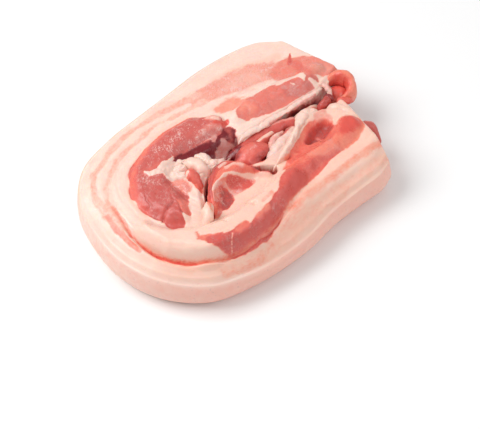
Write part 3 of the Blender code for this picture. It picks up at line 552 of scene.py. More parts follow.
def cut_side_height(share, depth, rib_length, x, y):
    """Height of the upper cut side: the slope in from the rind, masses, hollows and the cleft."""
    edge = along(RIND_EDGE_HEIGHT, share)
    shoulder = along(SHOULDER_HEIGHT, share)
    height = edge + (shoulder - edge) * smooth_step(depth / SHOULDER_WIDTH)
    place = np.stack([x, y, np.zeros_like(x)], axis=-1)
    sway_x = x + 1.5 * layered_noise(place, 14.0, 3)
    sway_y = y + 1.5 * layered_noise(place, 14.0, 7)
    for chain, crown, width in MASSES:
        reach = smooth_step(reach_into(sway_x, sway_y, chain) / width)
        height = height + np.maximum(crown - height, 0.0) * reach**0.7
    for chain, floor, width in HOLLOWS:
        fall = smooth_step(reach_into(sway_x, sway_y, chain) / width)
        height = height + np.minimum(floor - height, 0.0) * fall
    off_cleft = (depth - along(BELT_WIDTH, share)) / CLEFT_HALF_WIDTH
    height = height - along(CLEFT_DEPTH, share) * np.exp(-off_cleft**2)
    rounding = 2.0 - smooth_step(depth / EDGE_ROUNDING) - smooth_step((rib_length - depth) / EDGE_ROUNDING)
    return height - 0.7 * EDGE_ROUNDING * rounding


def relief(points, uv, values, amounts):
    """Fine relief in metres: lean sits lower, has a grain and parts into bundles, and fat swells softly
    and runs in long low ridges along the strip."""
    lean = values["lean"]
    run = np.stack([uv[..., 0], uv[..., 1], np.zeros(lean.shape)], axis=-1)
    swell = layered_noise(points, 11.0, 21, 3)
    ridges = layered_noise(run, (45.0, 3.2, 1.0), 33, 2)
    grain = layered_noise(points, (2.2, 3.2, 3.0), 45, 2)
    rounded = np.sqrt(np.clip(values["depth"] / 2.0, 0.0, 1.0)) - 1.0
    rise = amounts.fat_swell * swell + amounts.fat_ridges * ridges * (1.0 - 0.6 * lean)
    rise = rise - amounts.lean_sink * lean + lean * amounts.lean_grain * grain
    rise = rise + amounts.bundle_height * rounded * lean * values["bundle"]
    folds = 1.0 - 2.5 * np.abs(layered_noise(points, 7.0, 81, 3))
    rise = rise + amounts.crumple_height * folds * values["crumple"]
    millimetre = 0.001
    for chain, depth, width in CLEFTS:
        distance = reach_into(points[..., 0], points[..., 1], chain) + 0.8 * grain
        rise = rise - millimetre * depth * np.exp(-((distance / width) ** 2))
    return rise


def strip_sections(amounts):
    """Closed section of the strip at each station: points in plan millimetres, the run and depth of each
    point in millimetres, how much of it is rind and how much is cut side, its distance from the rind's
    top edge, and its share of the way along."""
    outer_points = np.array([outer for outer, _ in RIBS], float)
    inner_points = np.array([inner for _, inner in RIBS], float)
    at = even_parameters((2 * outer_points + inner_points) / 3, STATIONS)
    outer = curve_through(outer_points, at)[:, None, :]
    inner = curve_through(inner_points, at)[:, None, :]
    rib_length = np.linalg.norm(inner - outer, axis=2)
    inward = (inner - outer) / rib_length[..., None]
    share = np.linspace(0.0, 1.0, STATIONS)[:, None]

    top_width = rib_length - RIND_TOP_INSET - INNER_INSET
    depth = top_width * np.linspace(0.0, 1.0, TOP_POINTS)
    top = outer + inward * (RIND_TOP_INSET + depth)[..., None]
    top_z = cut_side_height(share, depth, top_width, top[..., 0], top[..., 1])

    down = np.linspace(1.0, 0.0, INNER_WALL_POINTS + 2)[1:-1]
    inner_z = down * top_z[:, -1:]
    inner_wall = inner - inward * (INNER_INSET * (2.0 * down - 1.0) ** 2)[:, None]

    foot_inset = along(RIND_FOOT_INSET, share)
    under_depth = foot_inset + (rib_length - foot_inset - INNER_INSET) * np.linspace(1.0, 0.0, UNDERSIDE_POINTS)
    underside = outer + inward * under_depth[..., None]
    under_z = np.zeros(under_depth.shape)

    rind_z = np.linspace(0.0, 1.0, RIND_POINTS + 2)[1:-1] * top_z[:, :1]
    below = np.clip(1.0 - rind_z / BULGE_HEIGHT, 0.0, 1.0)
    above = np.clip((rind_z - BULGE_HEIGHT) / (top_z[:, :1] - BULGE_HEIGHT), 0.0, 1.0)
    rind_inset = foot_inset * below**2 + RIND_TOP_INSET * above**2
    rind = outer + inward * rind_inset[..., None]

    plan = np.concatenate([top, inner_wall, underside, rind], axis=1)
    heights = np.concatenate([top_z, inner_z, under_z, rind_z], axis=1)
    points = np.concatenate([plan, heights[..., None]], axis=2)
    run = np.concatenate([[0.0], np.cumsum(np.linalg.norm(np.diff(outer[:, 0], axis=0), axis=1))])[:, None]
    across = np.concatenate([depth, rib_length - INNER_INSET * np.ones_like(down), under_depth, rind_z - 40.0], axis=1)
    uv = np.stack([run + 0.0 * across, across], axis=2)
    is_rind = np.zeros(across.shape)
    is_rind[:, -RIND_POINTS:] = 1.0
    is_top = np.zeros(across.shape)
    is_top[:, :TOP_POINTS] = smooth_step(np.minimum(depth / 2.0, 1.0))
    from_lip = np.full(across.shape, 99.0)
    from_lip[:, :TOP_POINTS] = depth
    from_lip[:, -RIND_POINTS:] = top_z[:, :1] - rind_z
    return points, uv, is_rind, is_top, from_lip, share + 0.0 * across


def close_ends(points, others):
    """Rings that shrink to the middle of each end, over its rounded edge and then its flat cut face.
    The other arrays are carried on unchanged."""
    shares = np.linspace(0.0, 1.0, END_RINGS + 1)[1:]
    caps = []
    for section, before in ((points[0], points[1]), (points[-1], points[-2])):
        outward = section.mean(axis=0) - before.mean(axis=0)
        outward = outward * (1.0, 1.0, 0.0)
        outward = outward / np.linalg.norm(outward)
        middle = section.mean(axis=0)
        rings = [
            middle + (section - middle) * (1.0 - share**2) + outward * END_ROUNDING * np.sin(1.5 * share)
            for share in shares * 0.985
        ]
        caps.append(np.array(rings))
    grown = np.concatenate([caps[0][::-1], points, caps[1]])
    carried = []
    for array in others:
        first = np.repeat(array[:1], END_RINGS, axis=0)
        last = np.repeat(array[-1:], END_RINGS, axis=0)
        carried.append(np.concatenate([first, array, last]))
    return grown, carried


def carried_piece(path, around, rings, lump_height, seed):
    """A flattened tube carried along a path whose points give x, y, z, half width and half height, all
    blended by one Catmull-Rom curve. Its rings are ellipses across the path, drawn in at both ends by
    the root of 1 - s^6. Each side of its outline wavers, and its surface is pushed in and out by noise."""
    at = 0.5 - 0.5 * np.cos(np.linspace(0.0, math.pi, rings + 2)[1:-1])
    spine = curve_through(path, at)
    ahead = np.gradient(spine[:, :2], axis=0)
    ahead = ahead / np.linalg.norm(ahead, axis=1)[:, None]
    side = np.stack([-ahead[:, 1], ahead[:, 0], np.zeros(rings)], axis=1)
    up = np.array([0.0, 0.0, 1.0])
    draw_in = np.sqrt(np.maximum(1.0 - (2.0 * at - 1.0) ** 6, 0.0))[:, None]
    turn = np.linspace(0.0, 2.0 * math.pi, around, endpoint=False)[None, :]
    travelled = np.concatenate([[0.0], np.cumsum(np.linalg.norm(np.diff(spine[:, :3], axis=0), axis=1))])
    edges = [layered_noise(np.stack([travelled, side_y + 0 * travelled, seed + 0 * travelled], axis=-1), 6.0, seed)
             for side_y in (5.0, 50.0)]
    waver = 1.0 + WAVER * np.where(np.cos(turn) > 0.0, edges[0][:, None], edges[1][:, None])
    across = spine[:, 3:4] * draw_in * np.cos(turn) * waver
    rise = spine[:, 4:5] * draw_in * np.sin(turn)
    out = side[:, None, :] * np.cos(turn)[..., None] + up * np.sin(turn)[..., None]
    points = spine[:, None, :3] + side[:, None, :] * across[..., None] + up * rise[..., None]
    size = 2.5 * np.mean(spine[:, 3])
    bumps = layered_noise(points, size, seed, 4) * lump_height
    points = points + out * (bumps * draw_in)[..., None]
    uv = np.stack([travelled[:, None] + 0.0 * turn, spine[:, 3:4] * turn], axis=2)
    return points, uv


def to_frame(points):
    """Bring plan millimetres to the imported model's box, in metres."""
    low, high = (np.array(corner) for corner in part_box(NODE))
    return low + (points - PLAN_LOW) / (PLAN_HIGH - PLAN_LOW) * (high - low)


def closed_mesh(name, points, values, uv, material):
    """Mesh of rings of points, each ring closed, with a point in the middle of the first and last ring.
    The faces are turned to point outwards by the sign of the volume that they enclose."""
    rings, around = points.shape[:2]
    tips = points[[0, -1]].mean(axis=1)
    vertices = np.concatenate([points.reshape(-1, 3), tips])
    index = np.arange(rings * around).reshape(rings, around)
    after = np.roll(index, -1, axis=1)
    quads = np.stack([index[:-1], index[1:], after[1:], after[:-1]], axis=-1).reshape(-1, 4)
    first = np.stack([np.full(around, rings * around), index[0], after[0]], axis=-1)
    last = np.stack([np.full(around, rings * around + 1), after[-1], index[-1]], axis=-1)
    corners = vertices[quads[:, :3]]
    volume = np.einsum("ij,ij->", corners[:, 0], np.cross(corners[:, 1], corners[:, 2]))
    if volume < 0.0:
        quads, first, last = quads[:, ::-1], first[:, ::-1], last[:, ::-1]
    mesh = bpy.data.meshes.new(name)
    mesh.from_pydata(to_frame(vertices), [], quads.tolist() + first.tolist() + last.tolist())
    for key, array in values.items():
        flat = np.concatenate([array.ravel(), [array[0].mean(), array[-1].mean()]])
        mesh.attributes.new(key, "FLOAT", "POINT").data.foreach_set("value", flat.astype(np.float32))
    spread = np.concatenate([uv.reshape(-1, 2), uv[0].mean(axis=0)[None], uv[-1].mean(axis=0)[None]]) / 100.0
    loops = np.zeros(len(mesh.loops), np.int32)
    mesh.loops.foreach_get("vertex_index", loops)
    mesh.uv_layers.new(name="run").data.foreach_set("uv", spread[loops].ravel().astype(np.float32))
    mesh.materials.append(material)
    mesh.shade_smooth()
    return mesh


def add_piece(name, mesh, replaces=False):
    """Show a finished mesh as a piece that rides on the slab."""
    piece = bpy.data.objects.new(name, mesh)
    bpy.context.scene.collection.objects.link(piece)
    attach(piece, "root")
    if replaces:
        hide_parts(NODE)
    return piece


class Value:
    """A shader number. Python arithmetic on it adds Math nodes."""

    def __init__(self, graph, socket):
        self.graph = graph
        self.socket = socket

    def math(self, operation, *others, clamp=False):
        settings = {"operation": operation, "use_clamp": clamp}
        sockets = {k: v for k, v in enumerate(others)}
        return self.graph.value("ShaderNodeMath", settings, sockets)

    def __add__(self, other):
        return self.math("ADD", self, other)

    def __sub__(self, other):
        return self.math("SUBTRACT", self, other)

    def __mul__(self, other):
        return self.math("MULTIPLY", self, other)

    def __rsub__(self, other):
        return self.math("SUBTRACT", other, self)

    __radd__ = __add__
    __rmul__ = __mul__

    def clamped(self):
        return self.math("ADD", self, 0.0, clamp=True)

    def step(self, low, high):
        """0 below low, 1 above high, and a smooth rise between them."""
        return self.graph.value("ShaderNodeMapRange", {"interpolation_type": "SMOOTHSTEP"},
                                {"Value": self, "From Min": low, "From Max": high})


class Graph:
    """The node tree of one material."""

    def __init__(self, name):
        self.material = bpy.data.materials.new(name)
        self.material.use_nodes = True
        self.tree = self.material.node_tree
        self.shader = self.tree.nodes["Principled BSDF"]

    def node(self, kind, settings=None, sockets=None):
        """Add a node, make its settings, then set or link its sockets."""
        node = self.tree.nodes.new(kind)
        for key, setting in (settings or {}).items():
            setattr(node, key, setting)
        for key, source in (sockets or {}).items():
            self.feed(node.inputs[key], source)
        return node

    def feed(self, socket, source):
        if isinstance(source, Value):
            self.tree.links.new(source.socket, socket)
        elif isinstance(source, bpy.types.NodeSocket):
            self.tree.links.new(source, socket)
        else:
            socket.default_value = source

    def value(self, kind, settings=None, sockets=None, output=0):
        return Value(self, self.node(kind, settings, sockets).outputs[output])

    def attribute(self, name):
        return self.value("ShaderNodeAttribute", {"attribute_name": name}, output="Fac")

    def noise(self, place, scale, detail=2.0, stretch=None, warp=0.0):
        """Noise from 0 to 1 with features of 1 / scale metres, stretched along the axes if asked."""
        if stretch:
            place = self.node("ShaderNodeVectorMath", {"operation": "MULTIPLY"}, {0: place, 1: stretch}).outputs[0]
        sockets = {"Vector": place, "Scale": scale, "Detail": detail, "Roughness": 0.55, "Distortion": warp}
        return self.value("ShaderNodeTexNoise", {"noise_dimensions": "3D"}, sockets, "Fac")

    def blend(self, factor, a, b, kind="MIX"):
        """Colour a changed to b by the factor."""
        settings = {"data_type": "RGBA", "blend_type": kind}
        return self.node("ShaderNodeMix", settings, {0: factor, 6: a, 7: b}).outputs[2]


def rgba(colour):
    return (*colour, 1.0)


def meat_material(name, look):
    """Raw belly: cream fat, lean from salmon to maroon by its blood, which is painted shade where it is set high in the
    crevice and the hollows, a pale frost on the lean's grain that is partly a painted highlight, grey-white films, warm
    translucent edges and painted warm shade on the near side, a pale line at the rind's top edge that is partly a
    painted highlight, and pale pink rind where the surface is rind."""
    g = Graph(name)
    place = g.node("ShaderNodeTexCoord").outputs["Object"]
    run = g.node("ShaderNodeUVMap", {"uv_map": "run"}).outputs["UV"]
    lean, blood_and_shade, frost_and_highlight, film, peach = (g.attribute(k) for k in MARK_VALUES[:5])
    rind, seam, tan_line, pale_line = (g.attribute(k) for k in ("rind", "seam", "tan_line", "pale_line"))
    slanted = g.node("ShaderNodeVectorRotate", {"rotation_type": "Z_AXIS"}, {"Vector": place, "Angle": -0.9}).outputs[0]

    broad = g.noise(place, 55.0, 3.0)
    mottle = g.noise(place, 190.0, 4.0, warp=0.6)
    fine = g.noise(place, 480.0, 3.0)
    grit = g.noise(place, 1300.0, 2.0)
    streak = g.noise(run, 70.0, 4.0, (0.35, 5.0, 1.0), warp=0.3)
    hairs = g.noise(slanted, 560.0, 3.0, (0.75, 1.3, 1.0), warp=2.0)

    fat = g.blend(broad.step(0.35, 0.7), rgba(look.fat_cream), rgba(look.fat_blush))
    fat = g.blend(streak.step(0.5, 0.8) * 0.5, fat, rgba(look.fat_pink))
    fat = g.blend(mottle.step(0.55, 0.8) * 0.25, fat, rgba(look.fat_pink))
    # Warm fat where peach is set: partly the fat's own tint and partly painted warm shade on the near side.
    fat = g.blend(peach * 0.75, fat, rgba(look.fat_peach_and_shade))

    edge = lean + (mottle - 0.5) * 0.5 + (fine - 0.5) * 0.3 + (streak - 0.5) * 0.5
    full = edge.step(0.45, 1.0)
    depth = blood_and_shade * (full * 0.5 + 0.5) + (broad - 0.5) * 0.2 + (mottle - 0.5) * 0.3 + (hairs - 0.5) * 0.25
    flesh = g.blend(depth.step(0.0, 0.3), rgba(look.lean_salmon), rgba(look.lean_rose))
    flesh = g.blend(depth.step(0.26, 0.58), flesh, rgba(look.lean_red))
    # Maroon at the dark end of the ramp: the lean's own darkest red, and painted shade in the crevice and the hollows.
    flesh = g.blend(depth.step(0.55, 0.95), flesh, rgba(look.maroon_lean_and_shade))
    # Orange to scarlet lean where peach is set: partly the lean's own warm colour and partly painted warm shade on the
    # near side.
    warm_tint_and_shade = g.blend(depth.step(0.15, 0.45), rgba(look.lean_orange), rgba(look.lean_scarlet))
    flesh = g.blend(peach * (1.0 - depth.step(0.55, 0.85)) * 0.7, flesh, warm_tint_and_shade)
    grain = hairs * 0.55 + mottle * 0.3 + grit * 0.15
    clumps = (broad * 0.5 + mottle * 0.5).step(0.4, 0.58) * 0.75 + 0.25
    # Pale grain where frost is set: partly a painted highlight on the wet lean.
    flesh = g.blend(grain.step(0.5, 0.59) * clumps * frost_and_highlight * 0.95, flesh, rgba(look.pale_grain_and_highlight))
    flesh = g.blend(frost_and_highlight * 0.05, flesh, rgba(look.film_grey))
    flesh = g.blend((0.5 - grain).step(0.0, 0.14) * (frost_and_highlight * 0.25 + 0.08), flesh, rgba(look.lean_red))
    flesh = g.blend(seam * mottle.step(0.3, 0.6) * 0.5, flesh, rgba(look.pale_grain_and_highlight))
    flesh = g.blend(seam * (1.0 - mottle.step(0.4, 0.55)) * 0.35, flesh, rgba(look.maroon_lean_and_shade))

    colour = g.blend(edge.step(0.22, 0.72), fat, flesh)
    veil = film * 1.2 - 0.25 + (mottle - 0.5) * 1.1 + (streak - 0.5) * 0.6 + (hairs - 0.5) * 0.4
    colour = g.blend((veil * film.step(0.0, 0.12)).clamped() * 0.75, colour, rgba(look.film_grey))

    skin = g.blend(mottle.step(0.3, 0.75), rgba(look.rind_pale), rgba(look.rind_pink))
    skin = g.blend(streak.step(0.5, 0.8) * 0.35, skin, rgba(look.rind_pale))
    # Warmer rind where peach is set, mostly painted warm shade on the near side.
    skin = g.blend(peach, skin, rgba(look.rind_warm_shade))
    pores = g.noise(place, 620.0, 0.0).step(0.73, 0.79) * 0.3
    skin = g.blend(pores, skin, rgba(look.rind_pore))
    colour = g.blend(rind.step(0.3, 0.7), colour, skin)
    colour = g.blend(tan_line * mottle.step(0.35, 0.5) * 0.75, colour, rgba(look.rind_tan))
    # The whitest fat at the rind's top edge on the near side, with a painted highlight along it.
    colour = g.blend(pale_line * 0.4, colour, rgba(look.fat_white_highlight))

    wet = g.noise(place, 160.0, 2.0)
    rough = (wet - 0.5) * 0.6 + (fine - 0.5) * 0.2 + look.roughness + rind * 0.08 - lean * 0.04 - film * 0.1
    bumps = fine * 0.5 + mottle * 0.5 + hairs * lean * 0.6 + grit * 0.2 * (lean * 0.6 + 0.4)
    bump = g.node("ShaderNodeBump", None, {"Strength": look.bump_strength, "Distance": look.bump_depth,
                                           "Height": bumps})
    for key, source in {
        "Base Color": colour,
        "Roughness": rough.clamped(),
        "Normal": bump.outputs[0],
        "Subsurface Weight": look.glow,
        "Subsurface Scale": look.glow_depth,
        "Specular IOR Level": look.gloss,
    }.items():
        g.feed(g.shader.inputs[key], source)
    return g.material


def finish_values(points, values):
    """Add the seams between the bundles of fibre, and blank values for a piece with no rind."""
    seam = 1.0 - smooth_step(bundle_depth(points) / 0.7)
    values["seam"] = seam * values["bundle"] * smooth_step(values["lean"] * 2.0 - 0.8)
    for key in ("rind", "tan_line", "pale_line"):
        values.setdefault(key, np.zeros(points.shape[:-1]))
    values.pop("depth", None)
    return values


def build_strip(slab):
    """The whole folded strip: sections carried along the ribs, painted, with fine relief on top. The painted shade
    along the cleft, the painted warm shade on the near side and the lines at the rind's top edge, a tan line and a pale
    line that is partly a painted highlight, fall off as exp(-d^2)."""
    points, uv, rind, top, from_lip, share = strip_sections(slab)
    ground = dict(lean=0.0, blood_and_shade=0.3)
    values = paint(points, uv, MARKS, ground)
    values["depth"] = bundle_depth(points)
    points[..., 2] = points[..., 2] + 1000.0 * relief(points, uv, values, slab) * top
    near = smooth_step((share - 0.4) / 0.12)
    tan_line = np.exp(-((from_lip - 0.4) / 0.7) ** 2) * (1.0 - near)
    # The whitest fat along the rind's top edge on the near side, with a painted highlight along it.
    pale_line = np.exp(-((from_lip - 0.2) / 1.6) ** 2) * near * (1.0 - 0.85 * smooth_step((share - 0.68) / 0.08))
    # Painted shade along the cleft between the belt and the cushion, stronger where the cleft is deeper.
    off_cleft = (uv[..., 1] - along(BELT_WIDTH, share)) / (0.5 * CLEFT_HALF_WIDTH)
    cleft_shade = np.exp(-(off_cleft**2)) * np.clip(along(CLEFT_DEPTH, share) / 5.0, 0.0, 1.0) * top
    # Painted warm shade over the near side, which faces away from the key lamp.
    warm_tint_and_shade = smooth_step((share - 0.48) / 0.2)
    points, (uv, rind, tan_line, pale_line, cleft_shade, warm_tint_and_shade, share) = close_ends(
        points, [uv, rind, tan_line, pale_line, cleft_shade, warm_tint_and_shade, share])
    values = paint(points, uv, MARKS, ground)
    # The painted cleft shade: red-brown lean with a warm tint, which fades along the way.
    fading = smooth_step((share - 0.6) / 0.06)
    cleft_shade_values = dict(lean=0.85 - 0.2 * fading, blood_and_shade=0.42 - 0.14 * fading, peach=0.9, film=0.0)
    for name, value in cleft_shade_values.items():
        values[name] = values[name] + (value - values[name]) * cleft_shade
    # Painted warm shade: the peach tint on the near side is raised.
    values["peach"] = np.maximum(values["peach"], 0.62 * warm_tint_and_shade)
    values.update(rind=rind, tan_line=tan_line, pale_line=pale_line)
    return points, uv, finish_values(points, values)


def colour_property(name, description, red, green, blue):
    return FloatVectorProperty(name=name, description=description, default=(red, green, blue), subtype="COLOR",
                               size=3, min=0.0, max=1.0)


def length_property(name, description, metres):
    return FloatProperty(name=name, description=description, default=metres, subtype="DISTANCE", unit="LENGTH",
                         precision=5)


class PorkRelief(PropertyGroup):
    """Heights of the fine relief on the cut side."""

    fat_swell: length_property("Fat swell", "Soft uneven swelling of the fat", 0.0006)
    fat_ridges: length_property("Fat ridges", "Long low ridges that run with the layers", 0.0004)
    lean_sink: length_property("Lean sink", "How far the lean sits below the fat", 0.0005)
    lean_grain: length_property("Lean grain", "Height of the lean's fibres", 0.00025)
    bundle_height: length_property("Bundles", "Depth of the seams between bundles of fibre in the lean", 0.0012)
    crumple_height: length_property("Crumple", "Height of the folds in torn fat", 0.0014)


class PorkLook(PropertyGroup):
    """Colours and finish of the raw meat."""

    fat_cream: colour_property("Fat cream", "Clean fat", 0.87, 0.65, 0.555)
    fat_blush: colour_property("Fat blush", "Fat with a little pink in it", 0.87, 0.59, 0.50)
    fat_pink: colour_property("Fat streak", "Pink streaks that run with the layers", 0.85, 0.48, 0.39)
    # Warm fat, partly painted warm shade on the near side.
    fat_peach_and_shade: colour_property("Fat peach", "Thin warm fat over lean", 0.87, 0.47, 0.35)
    # Whitest edge of the fat, also used for a painted highlight along the rind's top edge.
    fat_white_highlight: colour_property("Fat white", "Whitest edge of the fat", 0.90, 0.72, 0.65)
    lean_salmon: colour_property("Lean salmon", "The palest lean", 0.84, 0.39, 0.30)
    lean_rose: colour_property("Lean rose", "Pale red lean", 0.74, 0.185, 0.145)
    lean_red: colour_property("Lean red", "Red lean", 0.53, 0.095, 0.08)
    # The darkest lean, which deep in the fold is painted shade.
    maroon_lean_and_shade: colour_property("Lean maroon", "The darkest lean, deep in the fold", 0.17, 0.005, 0.010)
    lean_scarlet: colour_property("Lean scarlet", "Fresh wet lean in the light", 0.76, 0.085, 0.06)
    lean_orange: colour_property("Lean orange", "Thin lean that light shines through", 0.88, 0.25, 0.15)
    # Pale grain, partly a painted highlight on the wet lean; also the colour of the pale seams.
    pale_grain_and_highlight: colour_property("Frost", "Pale grain on the lean", 0.85, 0.53, 0.48)
    film_grey: colour_property("Film", "Grey-white membrane", 0.77, 0.52, 0.46)
    rind_pale: colour_property("Rind pale", "Paler rind", 0.86, 0.60, 0.51)
    rind_pink: colour_property("Rind pink", "Pinker rind", 0.84, 0.49, 0.40)
    # Rind on the near side, tinted as painted warm shade.
    rind_warm_shade: colour_property("Rind warm", "The pinkest rind, along the near side", 0.88, 0.44, 0.35)
    rind_pore: colour_property("Rind pore", "Hair pores in the rind", 0.50, 0.34, 0.32)
    rind_tan: colour_property("Rind edge", "Yellowish line where rind meets fat", 0.72, 0.50, 0.33)
    roughness: FloatProperty(name="Roughness", description="Roughness of the moist surface", default=0.38)
    gloss: FloatProperty(name="Gloss", description="Specular level of the moist surface", default=0.45)
    glow: FloatProperty(name="Glow", description="Share of light that passes below the surface", default=0.2)
    glow_depth: length_property("Glow depth", "How far light passes below the surface", 0.002)
    bump_strength: FloatProperty(name="Bump strength", description="Strength of the finest relief", default=0.4)
    bump_depth: length_property("Bump depth", "Depth of the finest relief", 0.0004)


class StudioSettings(PropertyGroup):
    """Camera, lamps and floor."""

    azimuth: FloatProperty(name="Azimuth", description="Turn of the view about the vertical, from looking along +Y",
                           default=math.radians(-29.27), subtype="ANGLE", unit="ROTATION")
    elevation: FloatProperty(name="Elevation", description="How far the camera looks down",
                             default=math.radians(51.03), subtype="ANGLE", unit="ROTATION")
    roll: FloatProperty(name="Roll", description="Turn of the camera about its own axis",
                        default=math.radians(-7.3), subtype="ANGLE", unit="ROTATION")
    distance: length_property("Distance", "From the camera to the point that it aims at", 0.817)
    lens: FloatProperty(name="Lens", description="Focal length on a 36 mm wide sensor, in millimetres", default=91.45)
    shift_up: FloatProperty(name="Shift", description="Vertical shift of the camera's sensor", default=-0.0719)
    key_power: FloatProperty(name="Key lamp", description="Power of the lamp behind and to the left", default=11.0,
                             subtype="POWER", unit="POWER")
    fill_power: FloatProperty(name="Fill lamp", description="Power of the lamp in front", default=3.2,
                              subtype="POWER", unit="POWER")
    sky: FloatProperty(name="Surround", description="Strength of the white surround", default=0.52)
    floor_white: FloatProperty(name="Floor white", description="How pale the floor is", default=0.9)


class PORK_OT_strip(Operator):
    """Build the folded strip of belly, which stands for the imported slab"""

    bl_idname = "pork.strip"
    bl_label = "Folded Strip"
    bl_options = {"REGISTER", "UNDO"}

    def execute(self, context):
        scene = context.scene
        points, uv, values = build_strip(scene.pork_relief)
        material = meat_material("cut belly", scene.pork_look)
        mesh = closed_mesh("folded_strip", points, values, uv, material)
        add_piece("folded_strip", mesh, replaces=True)
        return {"FINISHED"}


def area_lamp(name, power, size, place, aim):
    lamp = bpy.data.lights.new(name, "AREA")
    lamp.energy = power
    lamp.size = size
    holder = bpy.data.objects.new(name, lamp)
    holder.location = place
    holder.rotation_euler = (Vector(aim) - Vector(place)).to_track_quat("-Z", "Y").to_euler()
    bpy.context.scene.collection.objects.link(holder)


def add_carried(name, spec, look, around=56, rings=110):
    """Carry one free piece along its path, paint it and show it."""
    points, uv = carried_piece(spec["path"], around, rings, spec["lumps"], spec["seed"])
    values = finish_values(points, paint(points, uv, spec.get("marks", ()), spec["ground"]))
    add_piece(name, closed_mesh(name, points, values, uv, meat_material(name.replace("_", " "), look)))


class PORK_OT_lobe(Operator):
    """Build the lobe of lean that leans over the near side of the crevice"""

    bl_idname = "pork.lobe"
    bl_label = "Near Lobe"
    bl_options = {"REGISTER", "UNDO"}

    def execute(self, context):
        add_carried("near_lobe", LOBE, context.scene.pork_look, 120, 180)
        return {"FINISHED"}


class PORK_OT_strands(Operator):
    """Build the strands of lean and film that fill the crevice"""

    bl_idname = "pork.strands"
    bl_label = "Crevice Strands"
    bl_options = {"REGISTER", "UNDO"}

    def execute(self, context):
        for number, spec in enumerate(STRANDS, 1):
            add_carried(f"crevice_strand_{number}", spec, context.scene.pork_look, 90, 180)
        return {"FINISHED"}


class PORK_OT_flap(Operator):
    """Build the flap of fat beside the crevice"""

    bl_idname = "pork.flap"
    bl_label = "Fat Flap"
    bl_options = {"REGISTER", "UNDO"}

    def execute(self, context):
        add_carried("fat_flap", FLAP, context.scene.pork_look, 90, 200)
        return {"FINISHED"}


class PORK_OT_knob(Operator):
    """Build the hollow knob of lean at the far end"""

    bl_idname = "pork.knob"
    bl_label = "Far Knob"
    bl_options = {"REGISTER", "UNDO"}

    def execute(self, context):
        add_carried("far_knob", KNOB, context.scene.pork_look, 90, 180)
        add_carried("knob_floor", KNOB_FLOOR, context.scene.pork_look, 80, 100)
        return {"FINISHED"}


class PORK_OT_end_strips(Operator):
    """Build the strips between the two ends, and the tongue of lean behind the near one"""

    bl_idname = "pork.end_strips"
    bl_label = "End Strips"
    bl_options = {"REGISTER", "UNDO"}

    def execute(self, context):
        for number, spec in enumerate(END_STRIPS, 1):
            add_carried(f"end_strip_{number}", spec, context.scene.pork_look, 70, 110)
        add_carried("near_tongue", TONGUE, context.scene.pork_look, 70, 100)
        return {"FINISHED"}


class PORK_OT_lumps(Operator):
    """Build the lumps of soft fat and the red nub in the hollow of the bend"""

    bl_idname = "pork.lumps"
    bl_label = "Fat Lumps"
    bl_options = {"REGISTER", "UNDO"}

    def execute(self, context):
        for number, spec in enumerate(FAT_LUMPS, 1):
            add_carried(f"fat_lump_{number}", spec, context.scene.pork_look, 70, 90)
        add_carried("red_nub", RED_NUB, context.scene.pork_look, 70, 90)
        return {"FINISHED"}


class PORK_OT_torn_edge(Operator):
    """Build the torn pale edge along the far side of the crevice"""

    bl_idname = "pork.torn_edge"
    bl_label = "Torn Edge"
    bl_options = {"REGISTER", "UNDO"}

    def execute(self, context):
        add_carried("torn_edge", TORN_EDGE, context.scene.pork_look, 64, 260)
        return {"FINISHED"}


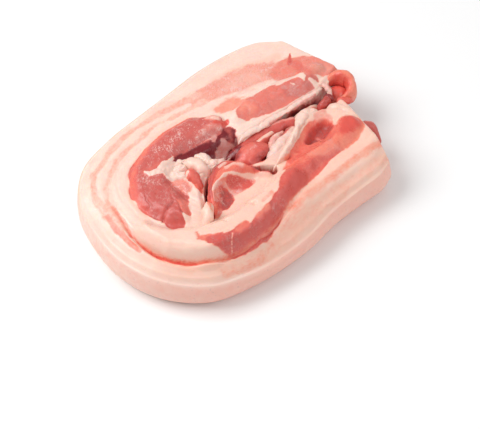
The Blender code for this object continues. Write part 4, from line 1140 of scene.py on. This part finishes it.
class PORK_OT_stage(Operator):
    """Set the pale floor, the white lamps and the camera"""

    bl_idname = "pork.stage"
    bl_label = "Stage"
    bl_options = {"REGISTER", "UNDO"}

    def execute(self, context):
        scene = context.scene
        studio = scene.pork_studio
        low, high = (Vector(corner) for corner in CAD_BOX)
        middle = (low + high) / 2

        mesh = bpy.data.meshes.new("floor")
        reach = 6.0
        corners = [(-reach, -reach), (reach, -reach), (reach, reach), (-reach, reach)]
        mesh.from_pydata([(x, y, low.z) for x, y in corners], [], [(0, 1, 2, 3)])
        g = Graph("pale floor")
        white = studio.floor_white
        g.feed(g.shader.inputs["Base Color"], (white, white, white, 1.0))
        g.feed(g.shader.inputs["Roughness"], 0.7)
        mesh.materials.append(g.material)
        floor = bpy.data.objects.new("floor", mesh)
        scene.collection.objects.link(floor)

        aim = middle + Vector((-0.003, -0.010, -0.0035))
        turn = (Matrix.Rotation(studio.azimuth, 4, "Z") @ Matrix.Rotation(math.pi / 2 - studio.elevation, 4, "X")
                @ Matrix.Rotation(studio.roll, 4, "Z"))
        camera = bpy.data.cameras.new("view")
        camera.lens = studio.lens
        camera.sensor_width = 36.0
        camera.shift_y = studio.shift_up
        camera.clip_start = 0.01
        holder = bpy.data.objects.new("view", camera)
        holder.matrix_world = Matrix.Translation(aim + turn @ Vector((0.0, 0.0, studio.distance))) @ turn
        scene.collection.objects.link(holder)
        scene.camera = holder

        area_lamp("key", studio.key_power, 0.8, (-0.55, 0.45, 0.95), middle)
        area_lamp("fill", studio.fill_power, 0.8, (0.5, -0.7, 0.8), middle)
        world = bpy.data.worlds.new("surround")
        world.use_nodes = True
        surround = world.node_tree.nodes["Background"]
        surround.inputs["Color"].default_value = (1.0, 1.0, 1.0, 1.0)
        surround.inputs["Strength"].default_value = studio.sky
        scene.world = world
        scene.view_settings.view_transform = "Standard"
        return {"FINISHED"}


class PORK_PT_sidebar(Panel):
    """Sizes, colours and builders of the slab"""

    bl_idname = "PORK_PT_sidebar"
    bl_label = "Pork Belly Slab"
    bl_space_type = "VIEW_3D"
    bl_region_type = "UI"
    bl_category = "Pork Belly"

    def draw(self, context):
        column = self.layout.column()
        for owner, group in SETTINGS.items():
            for key in group.__annotations__:
                column.prop(getattr(context.scene, owner), key)
        for builder in BUILDERS:
            column.operator(builder.bl_idname)


SETTINGS = {"pork_relief": PorkRelief, "pork_look": PorkLook, "pork_studio": StudioSettings}
BUILDERS = (PORK_OT_strip, PORK_OT_lobe, PORK_OT_strands, PORK_OT_flap, PORK_OT_knob, PORK_OT_end_strips,
            PORK_OT_lumps, PORK_OT_torn_edge, PORK_OT_stage)


def register():
    for kind in (*SETTINGS.values(), *BUILDERS, PORK_PT_sidebar):
        bpy.utils.register_class(kind)
    for name, kind in SETTINGS.items():
        setattr(bpy.types.Scene, name, PointerProperty(type=kind))


def unregister():
    for name in SETTINGS:
        delattr(bpy.types.Scene, name)
    for kind in reversed((*SETTINGS.values(), *BUILDERS, PORK_PT_sidebar)):
        bpy.utils.unregister_class(kind)


def main():
    register()
    bpy.ops.pork.strip()
    bpy.ops.pork.lobe()
    bpy.ops.pork.strands()
    bpy.ops.pork.flap()
    bpy.ops.pork.knob()
    bpy.ops.pork.end_strips()
    bpy.ops.pork.lumps()
    bpy.ops.pork.torn_edge()
    bpy.ops.pork.stage()


if __name__ == "__main__":
    main()
